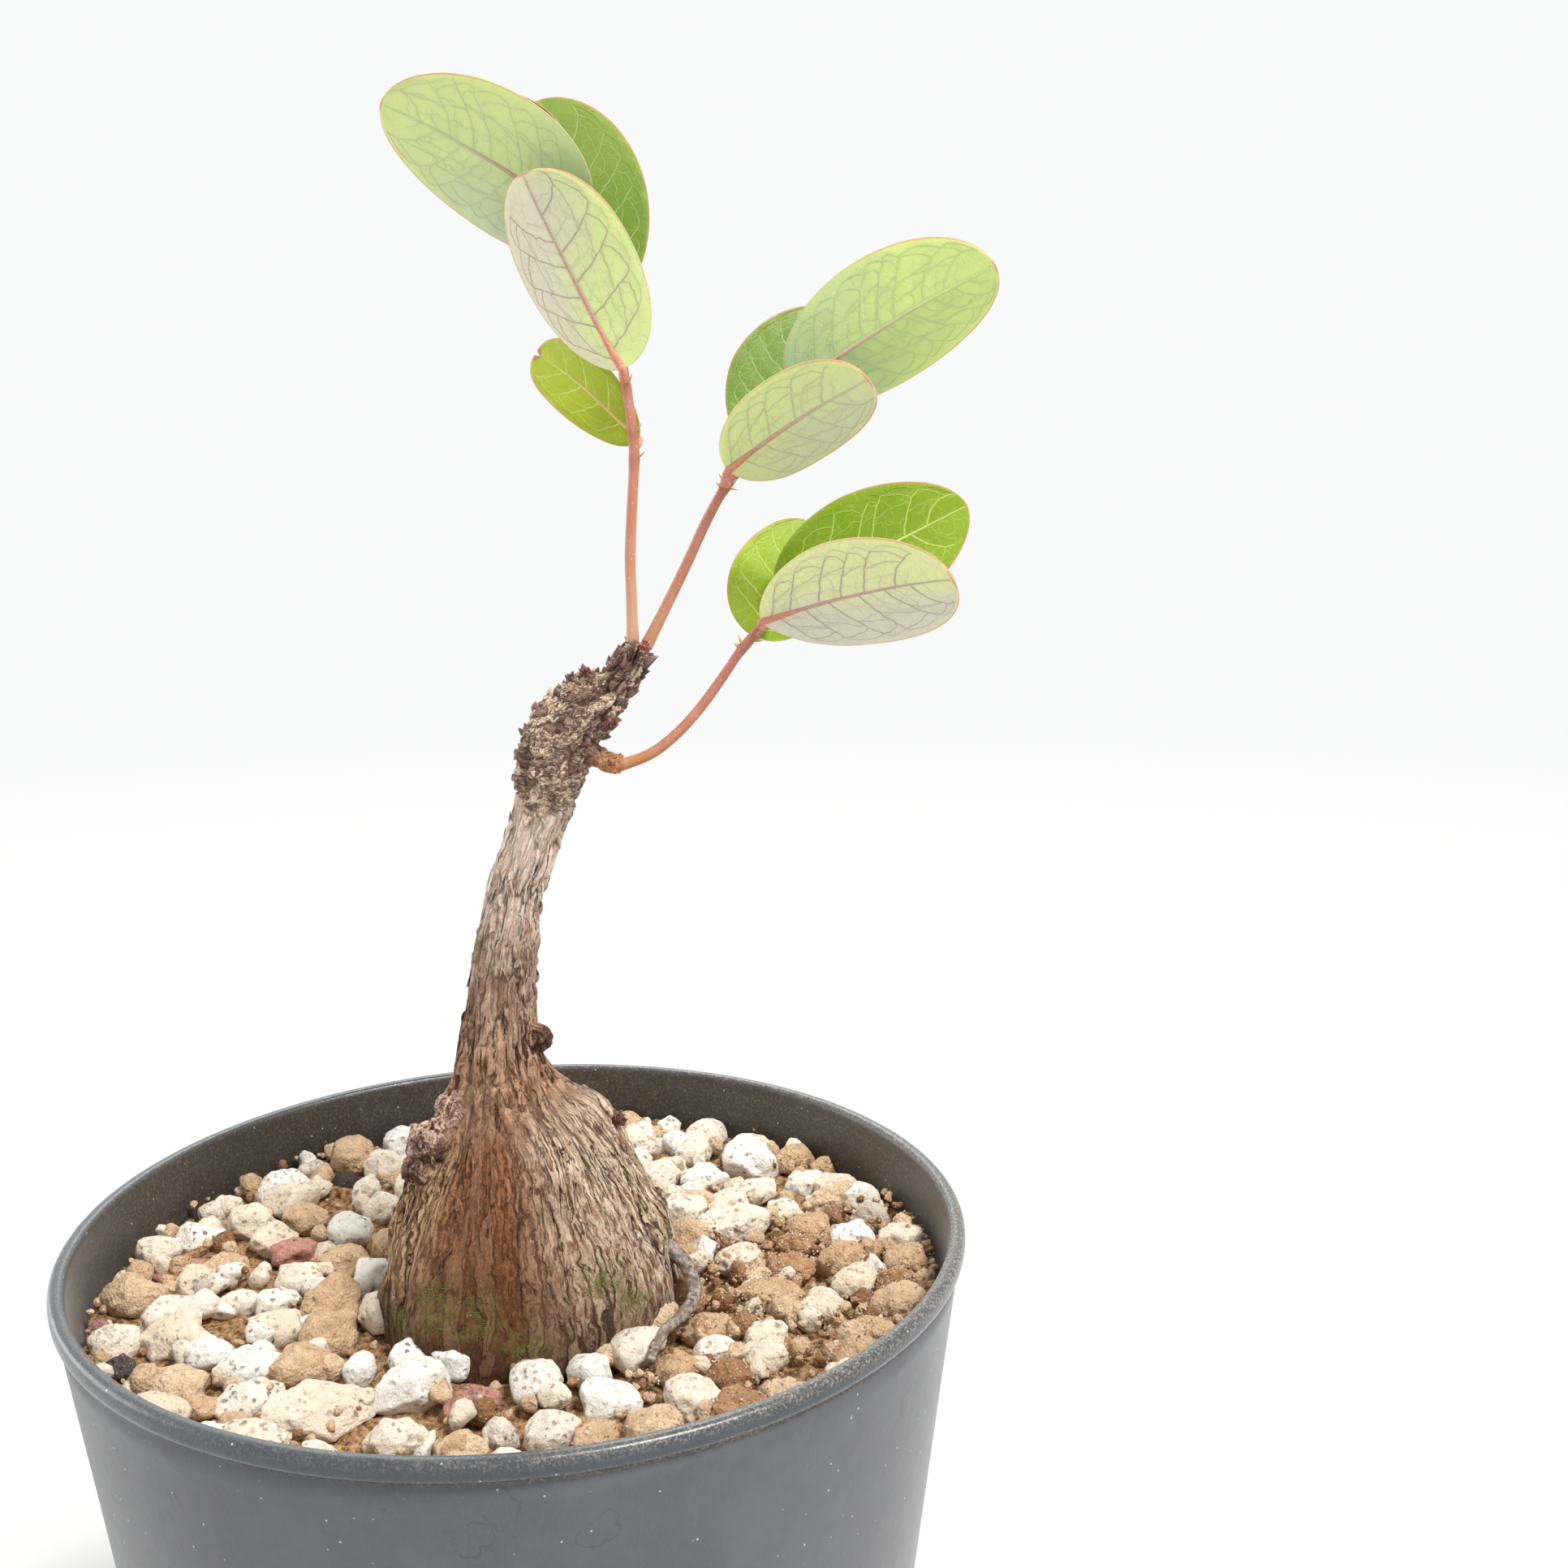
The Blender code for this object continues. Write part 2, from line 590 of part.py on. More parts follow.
def add_bud_tuft(pieces, middle, outward, chance):
    """Stands a few dark buds close together, pointing outwards."""
    for _ in range(TUFT_BUDS):
        spread = Vector([chance.uniform(-TUFT_SPREAD, TUFT_SPREAD) for _ in range(3)])
        foot = Vector(middle) + spread * BUD_RADIUS
        thorn("bud", foot, Vector(outward) + spread, BUD_LENGTH, BUD_RADIUS, pieces)


def make_trunk(parts):
    chance = random.Random(SEED)
    trunk = loft("caudex_trunk", trunk_rings(), parts)
    pieces = new_collection("trunk_pieces")
    for x, y, z, half_x, half_y, half_z in BARK_LUMPS:
        sizes = (half_x, half_y, half_z)
        lump("burl", (x, y, z), sizes, BURL_TURN, 1, BURL_ROUGHNESS, chance, pieces)
    add_crown_scales(pieces, chance)
    add_bud_tuft(pieces, SHOULDER_BUDS, SHOULDER_BUDS_WAY, chance)
    add_bud_tuft(pieces, BUD_TUFT, TUFT_WAY, chance)
    radii = evenly(SPUR_FOOT_RADIUS, SPUR_RADIUS, SPUR_POINTS)
    tube("spur", even_points(SPUR_ROUTE, SPUR_POINTS), radii, pieces)
    for foot, way in SPUR_SCALES:
        thorn("spur_scale", foot, way, SCALE_LENGTH, SCALE_RADIUS, pieces)
    radii = evenly(ROOT_RADIUS, ROOT_END_RADIUS, ROOT_POINTS)
    tube("surface_root", even_points(ROOT_ROUTE, ROOT_POINTS), radii, pieces)
    combine(trunk, pieces, "UNION")
    finish(trunk, material("bark"), BARK_SHARP)


def inside_wall(x, y, reach):
    """Moves a stone's middle towards the pot's axis until it clears the wall."""
    room = wall_radius(GRIT_LEVEL) - WALL_THICKNESS - GAP - reach
    distance = math.hypot(x, y)
    share = min(1.0, room / distance)
    return x * share, y * share


def add_stones(pieces, chance):
    """Lays the listed larger stones, then fills what is left with smaller ones at random."""
    taken = []
    for x, y, length, height, turn in LARGE_STONES:
        detail = 2 if length > BIG_STONE else 1
        sizes = (length / 2, LARGE_STONE_WIDTH * length / 2, (height + LARGE_STONE_ROOT) / 2)
        x, y = inside_wall(x, y, sizes[0] * (1.0 + STONE_ROUGHNESS))
        middle = (x, y, GRIT_LEVEL + height - sizes[2])
        lump("stone", middle, sizes, math.radians(turn), detail, STONE_ROUGHNESS, chance, pieces)
        taken.append((x, y, length * LARGE_STONE_ROOM))
    trunk_x, trunk_y, _, trunk_reach = TRUNK_STATIONS[5]
    for _ in range(SMALL_STONE_TRIES):
        radius = chance.uniform(*SMALL_STONE_RADIUS)
        distance = wall_radius(GRIT_LEVEL) * math.sqrt(chance.random())
        angle = chance.uniform(0.0, 2 * math.pi)
        x, y = distance * math.cos(angle), distance * math.sin(angle)
        sizes = [radius * share for share in SMALL_STONE_SHAPE]
        x, y = inside_wall(x, y, sizes[0] * (1.0 + STONE_ROUGHNESS))
        if math.hypot(x - trunk_x, y - trunk_y) < trunk_reach - 0.5 * radius:
            continue
        if any(math.hypot(x - a, y - b) < SMALL_STONE_OVERLAP * (radius + r) for a, b, r in taken):
            continue
        taken.append((x, y, radius))
        middle = (x, y, GRIT_LEVEL + radius * SMALL_STONE_RISE)
        lump("stone", middle, sizes, angle, 1, STONE_ROUGHNESS, chance, pieces)


def make_grit(parts):
    chance = random.Random(SEED)
    bottom = FLOOR_THICKNESS + GAP
    clear = WALL_THICKNESS + GAP
    profile = [
        (0.0, GRIT_LEVEL),
        (wall_radius(GRIT_LEVEL) - clear, GRIT_LEVEL),
        (wall_radius(bottom + 2.0) - clear, bottom + 2.0),
        (wall_radius(bottom) - clear - 2.0, bottom),
        (0.0, bottom),
    ]
    grit = revolve("grit", profile, POT_SIDES, parts)
    stones = new_collection("stones")
    add_stones(stones, chance)
    combine(grit, stones, "UNION")
    cutters = new_collection("grit_cutters")
    loft("trunk_hole", trunk_rings(extra=TRUNK_HOLE_GAP, relief=False), cutters)
    groove = [ROOT_RADIUS + GAP] * ROOT_POINTS
    tube("root_groove", even_points(ROOT_ROUTE, ROOT_POINTS), groove, cutters)
    combine(grit, cutters, "DIFFERENCE")
    finish(grit, material("grit"), STONE_SHARP)


def make_stem(name, parts, stem_material):
    """A round stem that thins towards its tip, with its stipules fused on."""
    route = STEM_ROUTES[name]
    length = sum((Vector(b) - Vector(a)).length for a, b in zip(route, route[1:]))
    count = round(length / STEM_POINT_SPACING)
    radii = evenly(STEM_RADIUS, STEM_END_RADIUS, count)
    stem = tube(name, even_points(route, count), radii, parts)
    pieces = new_collection(name + "_stipules")
    for x, y, z, degrees in STIPULES[name]:
        angle = math.radians(degrees)
        way = Vector((math.cos(angle), STIPULE_FORWARD, math.sin(angle)))
        thorn("stipule", (x, y, z), way, STIPULE_LENGTH, STIPULE_RADIUS, pieces)
    combine(stem, pieces, "UNION")
    finish(stem, stem_material)


def blade_frame(leaf):
    """Unit vectors along the blade, across it, and out of its upper face."""
    along = (Vector(leaf.tip) - Vector(leaf.base)).normalized()
    facing = Vector((0.0, leaf.upper, 0.0))
    flat = (facing - along * along.dot(facing)).normalized()
    side = flat.cross(along)
    roll = math.radians(leaf.roll)
    upper = flat * math.cos(roll) + side * math.sin(roll)
    across = side * math.cos(roll) - flat * math.sin(roll)
    return along, across, upper


def blade_point(leaf, share, side):
    """A point of the blade's middle surface: share runs from base to tip, side from -1 to 1."""
    along, across, upper = blade_frame(leaf)
    length = (Vector(leaf.tip) - Vector(leaf.base)).length
    round_part = abs(2.0 * share**leaf.lean - 1.0) ** leaf.fullness
    reach = 0.5 * leaf.width * side * max(1.0 - round_part, 0.0) ** (1.0 / leaf.fullness)
    fold = math.radians(leaf.fold)
    bulge = 4.0 * share * (1.0 - share)
    point = Vector(leaf.base) + along * length * share
    point += across * (reach * math.cos(fold) + leaf.bow * bulge)
    point += upper * (abs(reach) * math.sin(fold) + leaf.arch * bulge)
    return point


def blade_sheet(leaf):
    """Points and triangles of the blade's middle surface, with rows closer at both ends."""
    shares = [0.5 - 0.5 * math.cos(turn) for turn in evenly(0.0, math.pi, BLADE_ROWS)]
    sides = evenly(-1.0, 1.0, BLADE_COLUMNS + 1)
    points = [blade_point(leaf, 0.0, 0.0)]
    for share in shares[1:-1]:
        points += [blade_point(leaf, share, side) for side in sides]
    points.append(blade_point(leaf, 1.0, 0.0))
    wide = len(sides)
    last = len(points) - 1
    faces = []
    for column in range(BLADE_COLUMNS):
        faces.append((0, 1 + column + 1, 1 + column))
        faces.append((last, last - wide + column, last - wide + column + 1))
    for row in range(BLADE_ROWS - 3):
        for column in range(BLADE_COLUMNS):
            a = 1 + row * wide + column
            faces.append((a, a + 1, a + wide + 1))
            faces.append((a, a + wide + 1, a + wide))
    return points, faces


def make_leaf(leaf, parts, leaf_material):
    """A folded blade of even thickness, fused to its stalk, which runs on into the midrib."""
    blade = mesh_object(leaf.name, *blade_sheet(leaf), parts)
    solidify = blade.modifiers.new("thickness", "SOLIDIFY")
    solidify.thickness = BLADE_THICKNESS * MM
    solidify.offset = 0.0
    solidify.use_even_offset = True
    bake_modifiers(blade)
    pieces = new_collection(leaf.name + "_stalk")
    under = blade_frame(leaf)[2] * -STALK_UNDER
    inside = [blade_point(leaf, share, 0.0) + under for share in STALK_SHARES]
    stalk = [Vector(leaf.root), Vector(leaf.base) + under, *inside]
    tube("stalk", stalk, STALK_RADII, pieces, resolution=STALK_RESOLUTION)
    combine(blade, pieces, "UNION")
    finish(blade, leaf_material)


def main():
    clear_scene()
    parts = new_collection("potted_phyllanthus")
    make_pot(parts)
    make_grit(parts)
    make_trunk(parts)
    stem_material = material("stem")
    for name in STEM_ROUTES:
        make_stem(name, parts, stem_material)
    faces_up = {FRONT: material("leaf_upper"), BACK: material("leaf_under")}
    for leaf in LEAVES:
        make_leaf(leaf, parts, faces_up[leaf.upper])


main()
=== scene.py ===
"""Looks for the potted phyllanthus: finer pieces, materials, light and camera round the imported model.

Sizes are in millimetres and become metres when a mesh is made. Colours are sRGB numbers from 0 to 255,
except those of the light, which are linear and go from 0 to 1.
"""

import itertools
import json
import math
import random
from collections import namedtuple

import bmesh
import bpy
import numpy as np
from mathutils import Matrix, Vector, noise

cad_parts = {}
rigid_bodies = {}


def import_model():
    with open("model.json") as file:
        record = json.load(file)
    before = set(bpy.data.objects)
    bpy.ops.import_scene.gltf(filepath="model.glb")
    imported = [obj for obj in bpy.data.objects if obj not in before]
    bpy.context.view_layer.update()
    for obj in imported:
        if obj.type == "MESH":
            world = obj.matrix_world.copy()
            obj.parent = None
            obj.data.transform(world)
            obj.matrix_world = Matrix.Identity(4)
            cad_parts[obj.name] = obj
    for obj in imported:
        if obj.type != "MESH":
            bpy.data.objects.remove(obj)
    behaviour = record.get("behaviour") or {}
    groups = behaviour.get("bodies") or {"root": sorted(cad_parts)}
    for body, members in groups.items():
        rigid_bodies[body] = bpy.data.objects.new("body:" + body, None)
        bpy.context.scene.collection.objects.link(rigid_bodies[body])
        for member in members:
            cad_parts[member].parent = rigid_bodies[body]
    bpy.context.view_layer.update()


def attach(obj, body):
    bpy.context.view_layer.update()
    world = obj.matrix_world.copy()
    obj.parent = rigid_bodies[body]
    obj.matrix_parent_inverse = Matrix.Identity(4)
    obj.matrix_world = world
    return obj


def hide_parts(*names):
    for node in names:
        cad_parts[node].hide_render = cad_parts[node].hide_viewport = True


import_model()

MM = 0.001
SEED = 7
UP = np.array([0.0, 0.0, 1.0])

# Pot and mix. Sizes are as in the part's source
POT_HEIGHT = 95.0
RIM_RADIUS = 52.5
RIM_DEPTH = 2.4
RIM_OVERHANG = 0.65
WALL_TAPER = 0.128
WALL_THICKNESS = 1.3
FLOOR_THICKNESS = 2.0
POT_SIDES = 288
DARK_BEAD_RINGS = 4
BEAD_RINGS = 24
DRAIN_HOLES, DRAIN_RADIUS, DRAIN_CIRCLE, DRAIN_SIDES = 6, 3.0, 26.0, 40
GAP = 0.3
GRIT_LEVEL = 86.9
STONE_ROUGHNESS = 0.13
STONE_TILT = 0.25
LARGE_STONE_WIDTH = 0.78
LARGE_STONE_ROOT = 2.2
LARGE_STONE_ROOM = 0.42
SMALL_STONE_RISE = 0.35
SMALL_STONE_SHAPE = (1.1, 0.95, 0.8)
BIG_STONE = 8.5
# Below this height on a ball of radius 1, a stone is shaped one step less finely
UNDERSIDE = -0.15
SMALL_STONE_TRIES = 2400
SMALL_STONE_RADIUS = (2.8, 3.9)
SMALL_STONE_OVERLAP = 0.80

# Caudex and trunk, as in the part's source: x, y, z of the middle line, then the radius
TRUNK_STATIONS = [
    (2.2, -6.5, 50.0, 1.4),
    (2.2, -6.5, 60.0, 3.6),
    (2.2, -6.5, 68.0, 8.6),
    (2.1, -6.5, 75.0, 14.2),
    (2.1, -6.5, 82.0, 16.7),
    (2.1, -6.5, 89.0, 17.2),
    (2.0, -6.5, 93.2, 16.8),
    (1.6, -6.6, 98.2, 15.3),
    (1.3, -6.7, 103.1, 12.9),
    (0.9, -6.8, 108.0, 10.6),
    (0.2, -6.9, 111.5, 8.0),
    (-0.2, -7.0, 115.0, 5.9),
    (-0.3, -7.0, 119.0, 4.6),
    (0.1, -7.0, 124.0, 3.7),
    (0.9, -7.0, 130.0, 3.4),
    (2.3, -7.0, 137.0, 3.0),
    (4.2, -7.0, 142.5, 2.8),
    (5.8, -7.0, 147.0, 3.1),
    (6.9, -7.0, 151.0, 3.7),
    (8.3, -7.0, 154.4, 3.7),
    (10.6, -7.0, 157.0, 3.3),
    (13.4, -7.0, 158.9, 2.6),
    (15.5, -7.0, 161.2, 1.9),
    (16.8, -7.0, 164.1, 1.7),
]
# The station at the height of the mix, the bark's rough axis, and the height above which the trunk is slim
MIX_STATION = 5
TRUNK_AXIS = (2.0, -6.8)
SLIM_LEVEL = 114.0
BARK_RIDGES = 9
BARK_DEPTH = 0.55
FLUTES, FLUTE_DEPTH, FLUTE_TURN = 4, 0.07, 0.6
# How far along the middle line each band of rings reaches, the step between rings, corners in a ring
TRUNK_BANDS = [(33.0, 3.0, 140), (34.2, 0.6, 280), (58.5, 0.26, 560), (61.0, 0.22, 280), (200.0, 0.22, 140)]
# Lumps of the bark: x, y, z, then half sizes
BARK_LUMPS = [
    (-5.3, -10.6, 112.4, 1.9, 1.9, 2.6),
    (-8.0, -12.2, 109.4, 2.2, 2.1, 2.6),
    (-9.0, -12.8, 106.6, 1.7, 1.6, 1.8),
    (4.6, -7.6, 119.9, 1.6, 1.3, 1.6),
    (5.0, -5.6, 149.2, 1.6, 2.2, 1.8),
    (6.2, -9.2, 154.2, 1.7, 1.7, 1.8),
]
# Layers of cracks: how many fit round, their length, whether they are the caudex's or the slim trunk's,
# and how high the plates and how deep the cracks are
CRACK_LAYERS = [
    (14.0, 10.0, True, 0.15, 0.34),
    (26.0, 6.0, True, 0.06, 0.18),
    (4.4, 7.0, False, 0.13, 0.30),
    (8.0, 4.0, False, 0.08, 0.18),
]
# Scars and knots: turn in degrees, height, half width, half height, how far they stand out
BARK_SCARS = [
    (-87, 112.6, 0.5, 1.2, -0.45),
    (-92, 107.2, 1.1, 0.6, 0.30),
    (-93, 98.7, 1.3, 0.6, 0.28),
    (-105, 138.6, 0.9, 0.8, 0.40),
    (-64, 142.1, 0.4, 0.5, -0.30),
    (-48, 127.4, 0.8, 0.7, 0.40),
    (-30, 105.0, 0.4, 2.0, -0.45),
    (-18, 99.8, 0.4, 2.6, -0.45),
    (60, 104.0, 1.1, 0.8, 0.30),
    (115, 96.0, 1.2, 0.7, 0.30),
    (150, 131.0, 0.9, 0.8, 0.35),
    (35, 121.0, 0.8, 0.8, 0.35),
    (-160, 100.0, 0.5, 1.8, -0.40),
    (80, 113.0, 0.5, 1.2, -0.40),
]
# Moss on the bark: turn in degrees, height, half size
MOSS_PATCHES = [
    (-142, 90.6, 2.2),
    (-120, 94.2, 3.2),
    (-104, 93.6, 3.4),
    (-85, 90.4, 2.6),
    (-52, 96.3, 2.6),
    (-41, 93.3, 2.6),
    (-3, 96.3, 2.0),
    (40, 90.0, 3.0),
    (95, 91.0, 3.2),
    (150, 90.0, 2.6),
    (-172, 117.6, 1.6),
    (-166, 130.5, 2.0),
]
# Bud tufts: near which spot of the bark, scales, core radius, scale length, and least and most redness
BUD_TUFTS = [
    ((-8.4, -14.4, 110.4), 34, 0.60, 0.70, (0.0, 0.3)),
    ((-8.6, -14.6, 108.0), 24, 0.50, 0.60, (0.0, 0.3)),
    ((12.0, -5.0, 109.0), 44, 0.60, 0.95, (0.2, 0.5)),
    ((8.4, -7.6, 161.5), 12, 0.45, 0.50, (0.2, 0.6)),
    ((10.7, -7.8, 161.8), 22, 0.50, 0.75, (0.4, 0.7)),
    ((13.2, -9.8, 155.6), 18, 0.60, 0.60, (0.5, 0.7)),
    ((17.8, -8.4, 164.2), 16, 0.45, 0.75, (0.7, 1.0)),
]
SCALE_SIDES, SCALE_RINGS = 6, 6
CROWN_SCALES = 260
SPUR_SCALES_A_STEP = 5
BARK_FLAKES = 420
# How far the fine bark is drawn in near the tip, so that it stays inside the part's box
TIP_ROOM = 0.55
MOSS_HAIRS, MOSS_HAIR_RADIUS = 2200, 0.06
SPUR_ROUTE = [(9.0, -7.6, 153.9), (11.0, -8.4, 152.6), (12.8, -8.8, 151.5), (14.6, -9.0, 151.2)]
SPUR_FOOT_RADIUS, SPUR_RADIUS = 1.5, 1.15
SPUR_SIDES, ROOT_SIDES = 40, 24
ROOT_ROUTE = [
    (17.6, -7.0, 94.4),
    (19.9, -8.4, 92.9),
    (20.8, -10.6, 91.6),
    (21.0, -13.0, 91.0),
    (19.9, -16.2, 90.6),
    (18.3, -19.0, 90.4),
    (17.4, -21.6, 90.0),
    (17.0, -24.0, 89.4),
]
ROOT_RADIUS, ROOT_END_RADIUS = 0.94, 0.49

# Stems and leaves, as in the part's source
STEM_RADIUS, STEM_END_RADIUS = 0.62, 0.47
STEM_SUNK, STEM_STEPS = 1.3, 20
STEM_SIDES, STIPULE_SIDES, STALK_SIDES, VEIN_SIDES = 28, 8, 14, 6
STEM_ROUTES = {
    "stem_left": [
        (16.0, -7.0, 164.9),
        (16.0, -7.0, 168.5),
        (16.0, -7.0, 173.0),
        (16.3, -6.8, 178.0),
        (16.7, -6.4, 184.0),
        (16.4, -6.2, 188.1),
        (15.9, -6.0, 192.0),
        (15.3, -5.6, 197.4),
        (14.3, -5.2, 202.0),
        (13.4, -5.0, 205.2),
    ],
    "stem_middle": [
        (18.0, -7.0, 164.7),
        (19.9, -7.0, 168.3),
        (22.0, -7.0, 172.4),
        (24.1, -7.0, 176.7),
        (26.0, -7.0, 180.0),
        (28.1, -6.9, 182.6),
        (30.4, -6.6, 185.2),
        (32.4, -6.4, 187.9),
    ],
    "stem_right": [
        (15.3, -9.0, 151.4),
        (17.7, -9.2, 152.3),
        (20.6, -9.4, 154.5),
        (23.2, -9.4, 157.3),
        (25.4, -9.2, 160.2),
        (27.4, -8.8, 163.0),
        (29.3, -8.2, 165.1),
        (30.7, -7.7, 166.5),
    ],
}
PALE_FEET = {"stem_left": 0.25, "stem_middle": 0.1, "stem_right": 0.0}
STIPULES = {
    "stem_left": [(16.9, -6.4, 183.4, 20), (16.8, -6.3, 186.0, 40), (16.1, -6.2, 190.8, 60)],
    "stem_middle": [(26.2, -7.0, 180.7, -35), (26.0, -7.0, 180.6, 120)],
    "stem_right": [(27.8, -8.7, 163.6, 115), (28.6, -8.4, 164.7, -20)],
}
FRONT, BACK = -1.0, 1.0
BLADE_THICKNESS = 0.30
BLADE_ROWS, BLADE_COLUMNS = 60, 33
# How far a blade swells between its side veins
PUCKER = 0.09
# A leaf: where its stalk leaves the stem, its blade's base and tip, its width, the way its upper face
# looks, roll and fold in degrees, arch and bow in mm, how square and how top-heavy its outline is, side
# veins on a side, and how deep the notch at its tip is in mm
Leaf = namedtuple("Leaf", "name root base tip width upper roll fold arch bow fullness lean veins notch")
LEAVES = [
    Leaf("leaf_left_1", (16.9, -5.1, 184.8), (17.0, -4.2, 185.3), (6.0, 0.6, 194.6),
         7.4, FRONT, 15, 7, 1.3, -0.9, 2.4, 1.18, 4, 0.6),
    Leaf("leaf_left_2", (15.9, -7.3, 191.7), (15.9, -7.8, 192.6), (6.9, -12.4, 211.7),
         14.4, BACK, 26, 18, 0.5, -0.7, 2.1, 1.01, 5, 0.0),
    Leaf("leaf_left_3", (15.1, -4.3, 197.3), (14.3, -3.3, 198.9), (6.6, 6.5, 221.2),
         13.9, FRONT, -5, 7, -0.4, -1.1, 2.03, 1.15, 6, 0.0),
    Leaf("leaf_left_4", (13.2, -5.9, 205.6), (12.3, -6.3, 207.0), (-8.3, -4.6, 219.6),
         16.0, BACK, 32, 2, 0.3, 0.8, 1.97, 0.79, 7, 0.0),
    Leaf("leaf_left_5", (13.5, -4.3, 205.7), (13.2, -3.5, 206.8), (-1.6, 1.8, 220.6),
         10.9, FRONT, 20, 7, 0.5, -1.0, 1.65, 1.08, 7, 0.0),
    Leaf("leaf_middle_1", (26.2, -8.2, 180.9), (26.6, -8.7, 182.2), (41.0, -14.9, 191.3),
         10.8, BACK, -24, 3, 0.0, -0.5, 2.3, 1.08, 5, 0.0),
    Leaf("leaf_middle_2", (28.7, -5.8, 182.9), (29.1, -4.8, 183.8), (36.6, 3.0, 198.9),
         11.1, FRONT, 6, 7, 0.2, 0.6, 1.76, 0.92, 6, 0.0),
    Leaf("leaf_middle_3", (32.6, -6.4, 188.4), (33.2, -6.5, 190.1), (54.4, -8.2, 202.5),
         14.4, BACK, -21, 11, 0.8, -0.4, 2.06, 0.99, 8, 0.0),
    Leaf("leaf_right_1", (28.9, -7.4, 164.5), (29.0, -6.4, 164.4), (35.0, 0.2, 176.2),
         11.1, FRONT, 0, 5, 0.4, 0.0, 1.8, 0.83, 5, 0.0),
    Leaf("leaf_right_2", (29.8, -9.2, 166.0), (29.9, -9.8, 166.5), (49.3, -19.0, 171.5),
         14.9, BACK, -34, 0, 0.2, -0.6, 2.08, 1.25, 6, 0.0),
    Leaf("leaf_right_3", (31.0, -7.3, 167.0), (31.5, -6.4, 168.5), (52.2, -2.1, 177.8),
         13.7, FRONT, 4, 5, 0.7, -0.1, 1.83, 0.90, 6, 0.0),
]
# How a face looks: how faint its veins are, its main and second colour, how the second one comes in
# along, across and all over the blade, then the colours of its veins and midrib. The second colour partly
# paints light shining through the blade
FACE_LOOKS = {
    "upper": (0.0, (118, 152, 46), (140, 168, 64), (0.5, 0.0, -0.1), (186, 202, 118), (206, 200, 134)),
    "under": (0.1, (190, 204, 168), (202, 220, 150), (0.5, 0.3, 0.0), (170, 160, 136), (188, 138, 128)),
}
FaceLook = namedtuple("FaceLook", "faint main second drift vein rib")
# The face of each leaf that the photograph shows has a look of its own
LEAF_LOOKS = {
    "leaf_left_1": ("upper", 0.0, (156, 174, 36), (174, 188, 50),
                    (0.5, 0.0, -0.1), (208, 212, 104), (230, 184, 120)),
    "leaf_left_2": ("under", 0.2, (216, 212, 188), (214, 228, 154),
                    (-0.9, 0.75, 0.65), (184, 144, 138), (194, 138, 134)),
    "leaf_left_3": ("upper", 0.0, (110, 138, 44), (140, 160, 74),
                    (0.9, 0.0, -0.3), (170, 188, 112), (186, 200, 134)),
    "leaf_left_4": ("under", 0.65, (184, 196, 174), (212, 224, 150),
                    (0.9, 0.25, -0.1), (188, 190, 158), (192, 150, 142)),
    "leaf_left_5": ("upper", 0.0, (92, 108, 54), (110, 126, 66),
                    (0.5, 0.0, 0.0), (150, 160, 110), (160, 150, 110)),
    "leaf_middle_1": ("under", 0.3, (206, 208, 172), (214, 226, 152),
                      (-0.6, -0.4, 0.6), (200, 184, 156), (206, 154, 142)),
    "leaf_middle_2": ("upper", 0.0, (102, 130, 42), (118, 144, 54),
                      (0.5, 0.0, 0.0), (164, 182, 104), (180, 192, 124)),
    "leaf_middle_3": ("under", 0.7, (178, 194, 152), (208, 225, 140),
                      (1.1, 0.0, -0.2), (186, 196, 150), (204, 168, 152)),
    "leaf_right_1": ("upper", 0.0, (136, 162, 34), (154, 178, 46),
                     (0.4, 0.0, 0.0), (196, 208, 102), (214, 206, 118)),
    "leaf_right_2": ("under", 0.15, (216, 214, 196), (224, 230, 170),
                     (0.35, -0.95, 0.1), (188, 158, 150), (200, 150, 146)),
    "leaf_right_3": ("upper", 0.0, (116, 146, 22), (134, 160, 32),
                     (0.4, 0.0, 0.0), (192, 204, 104), (206, 206, 124)),
}

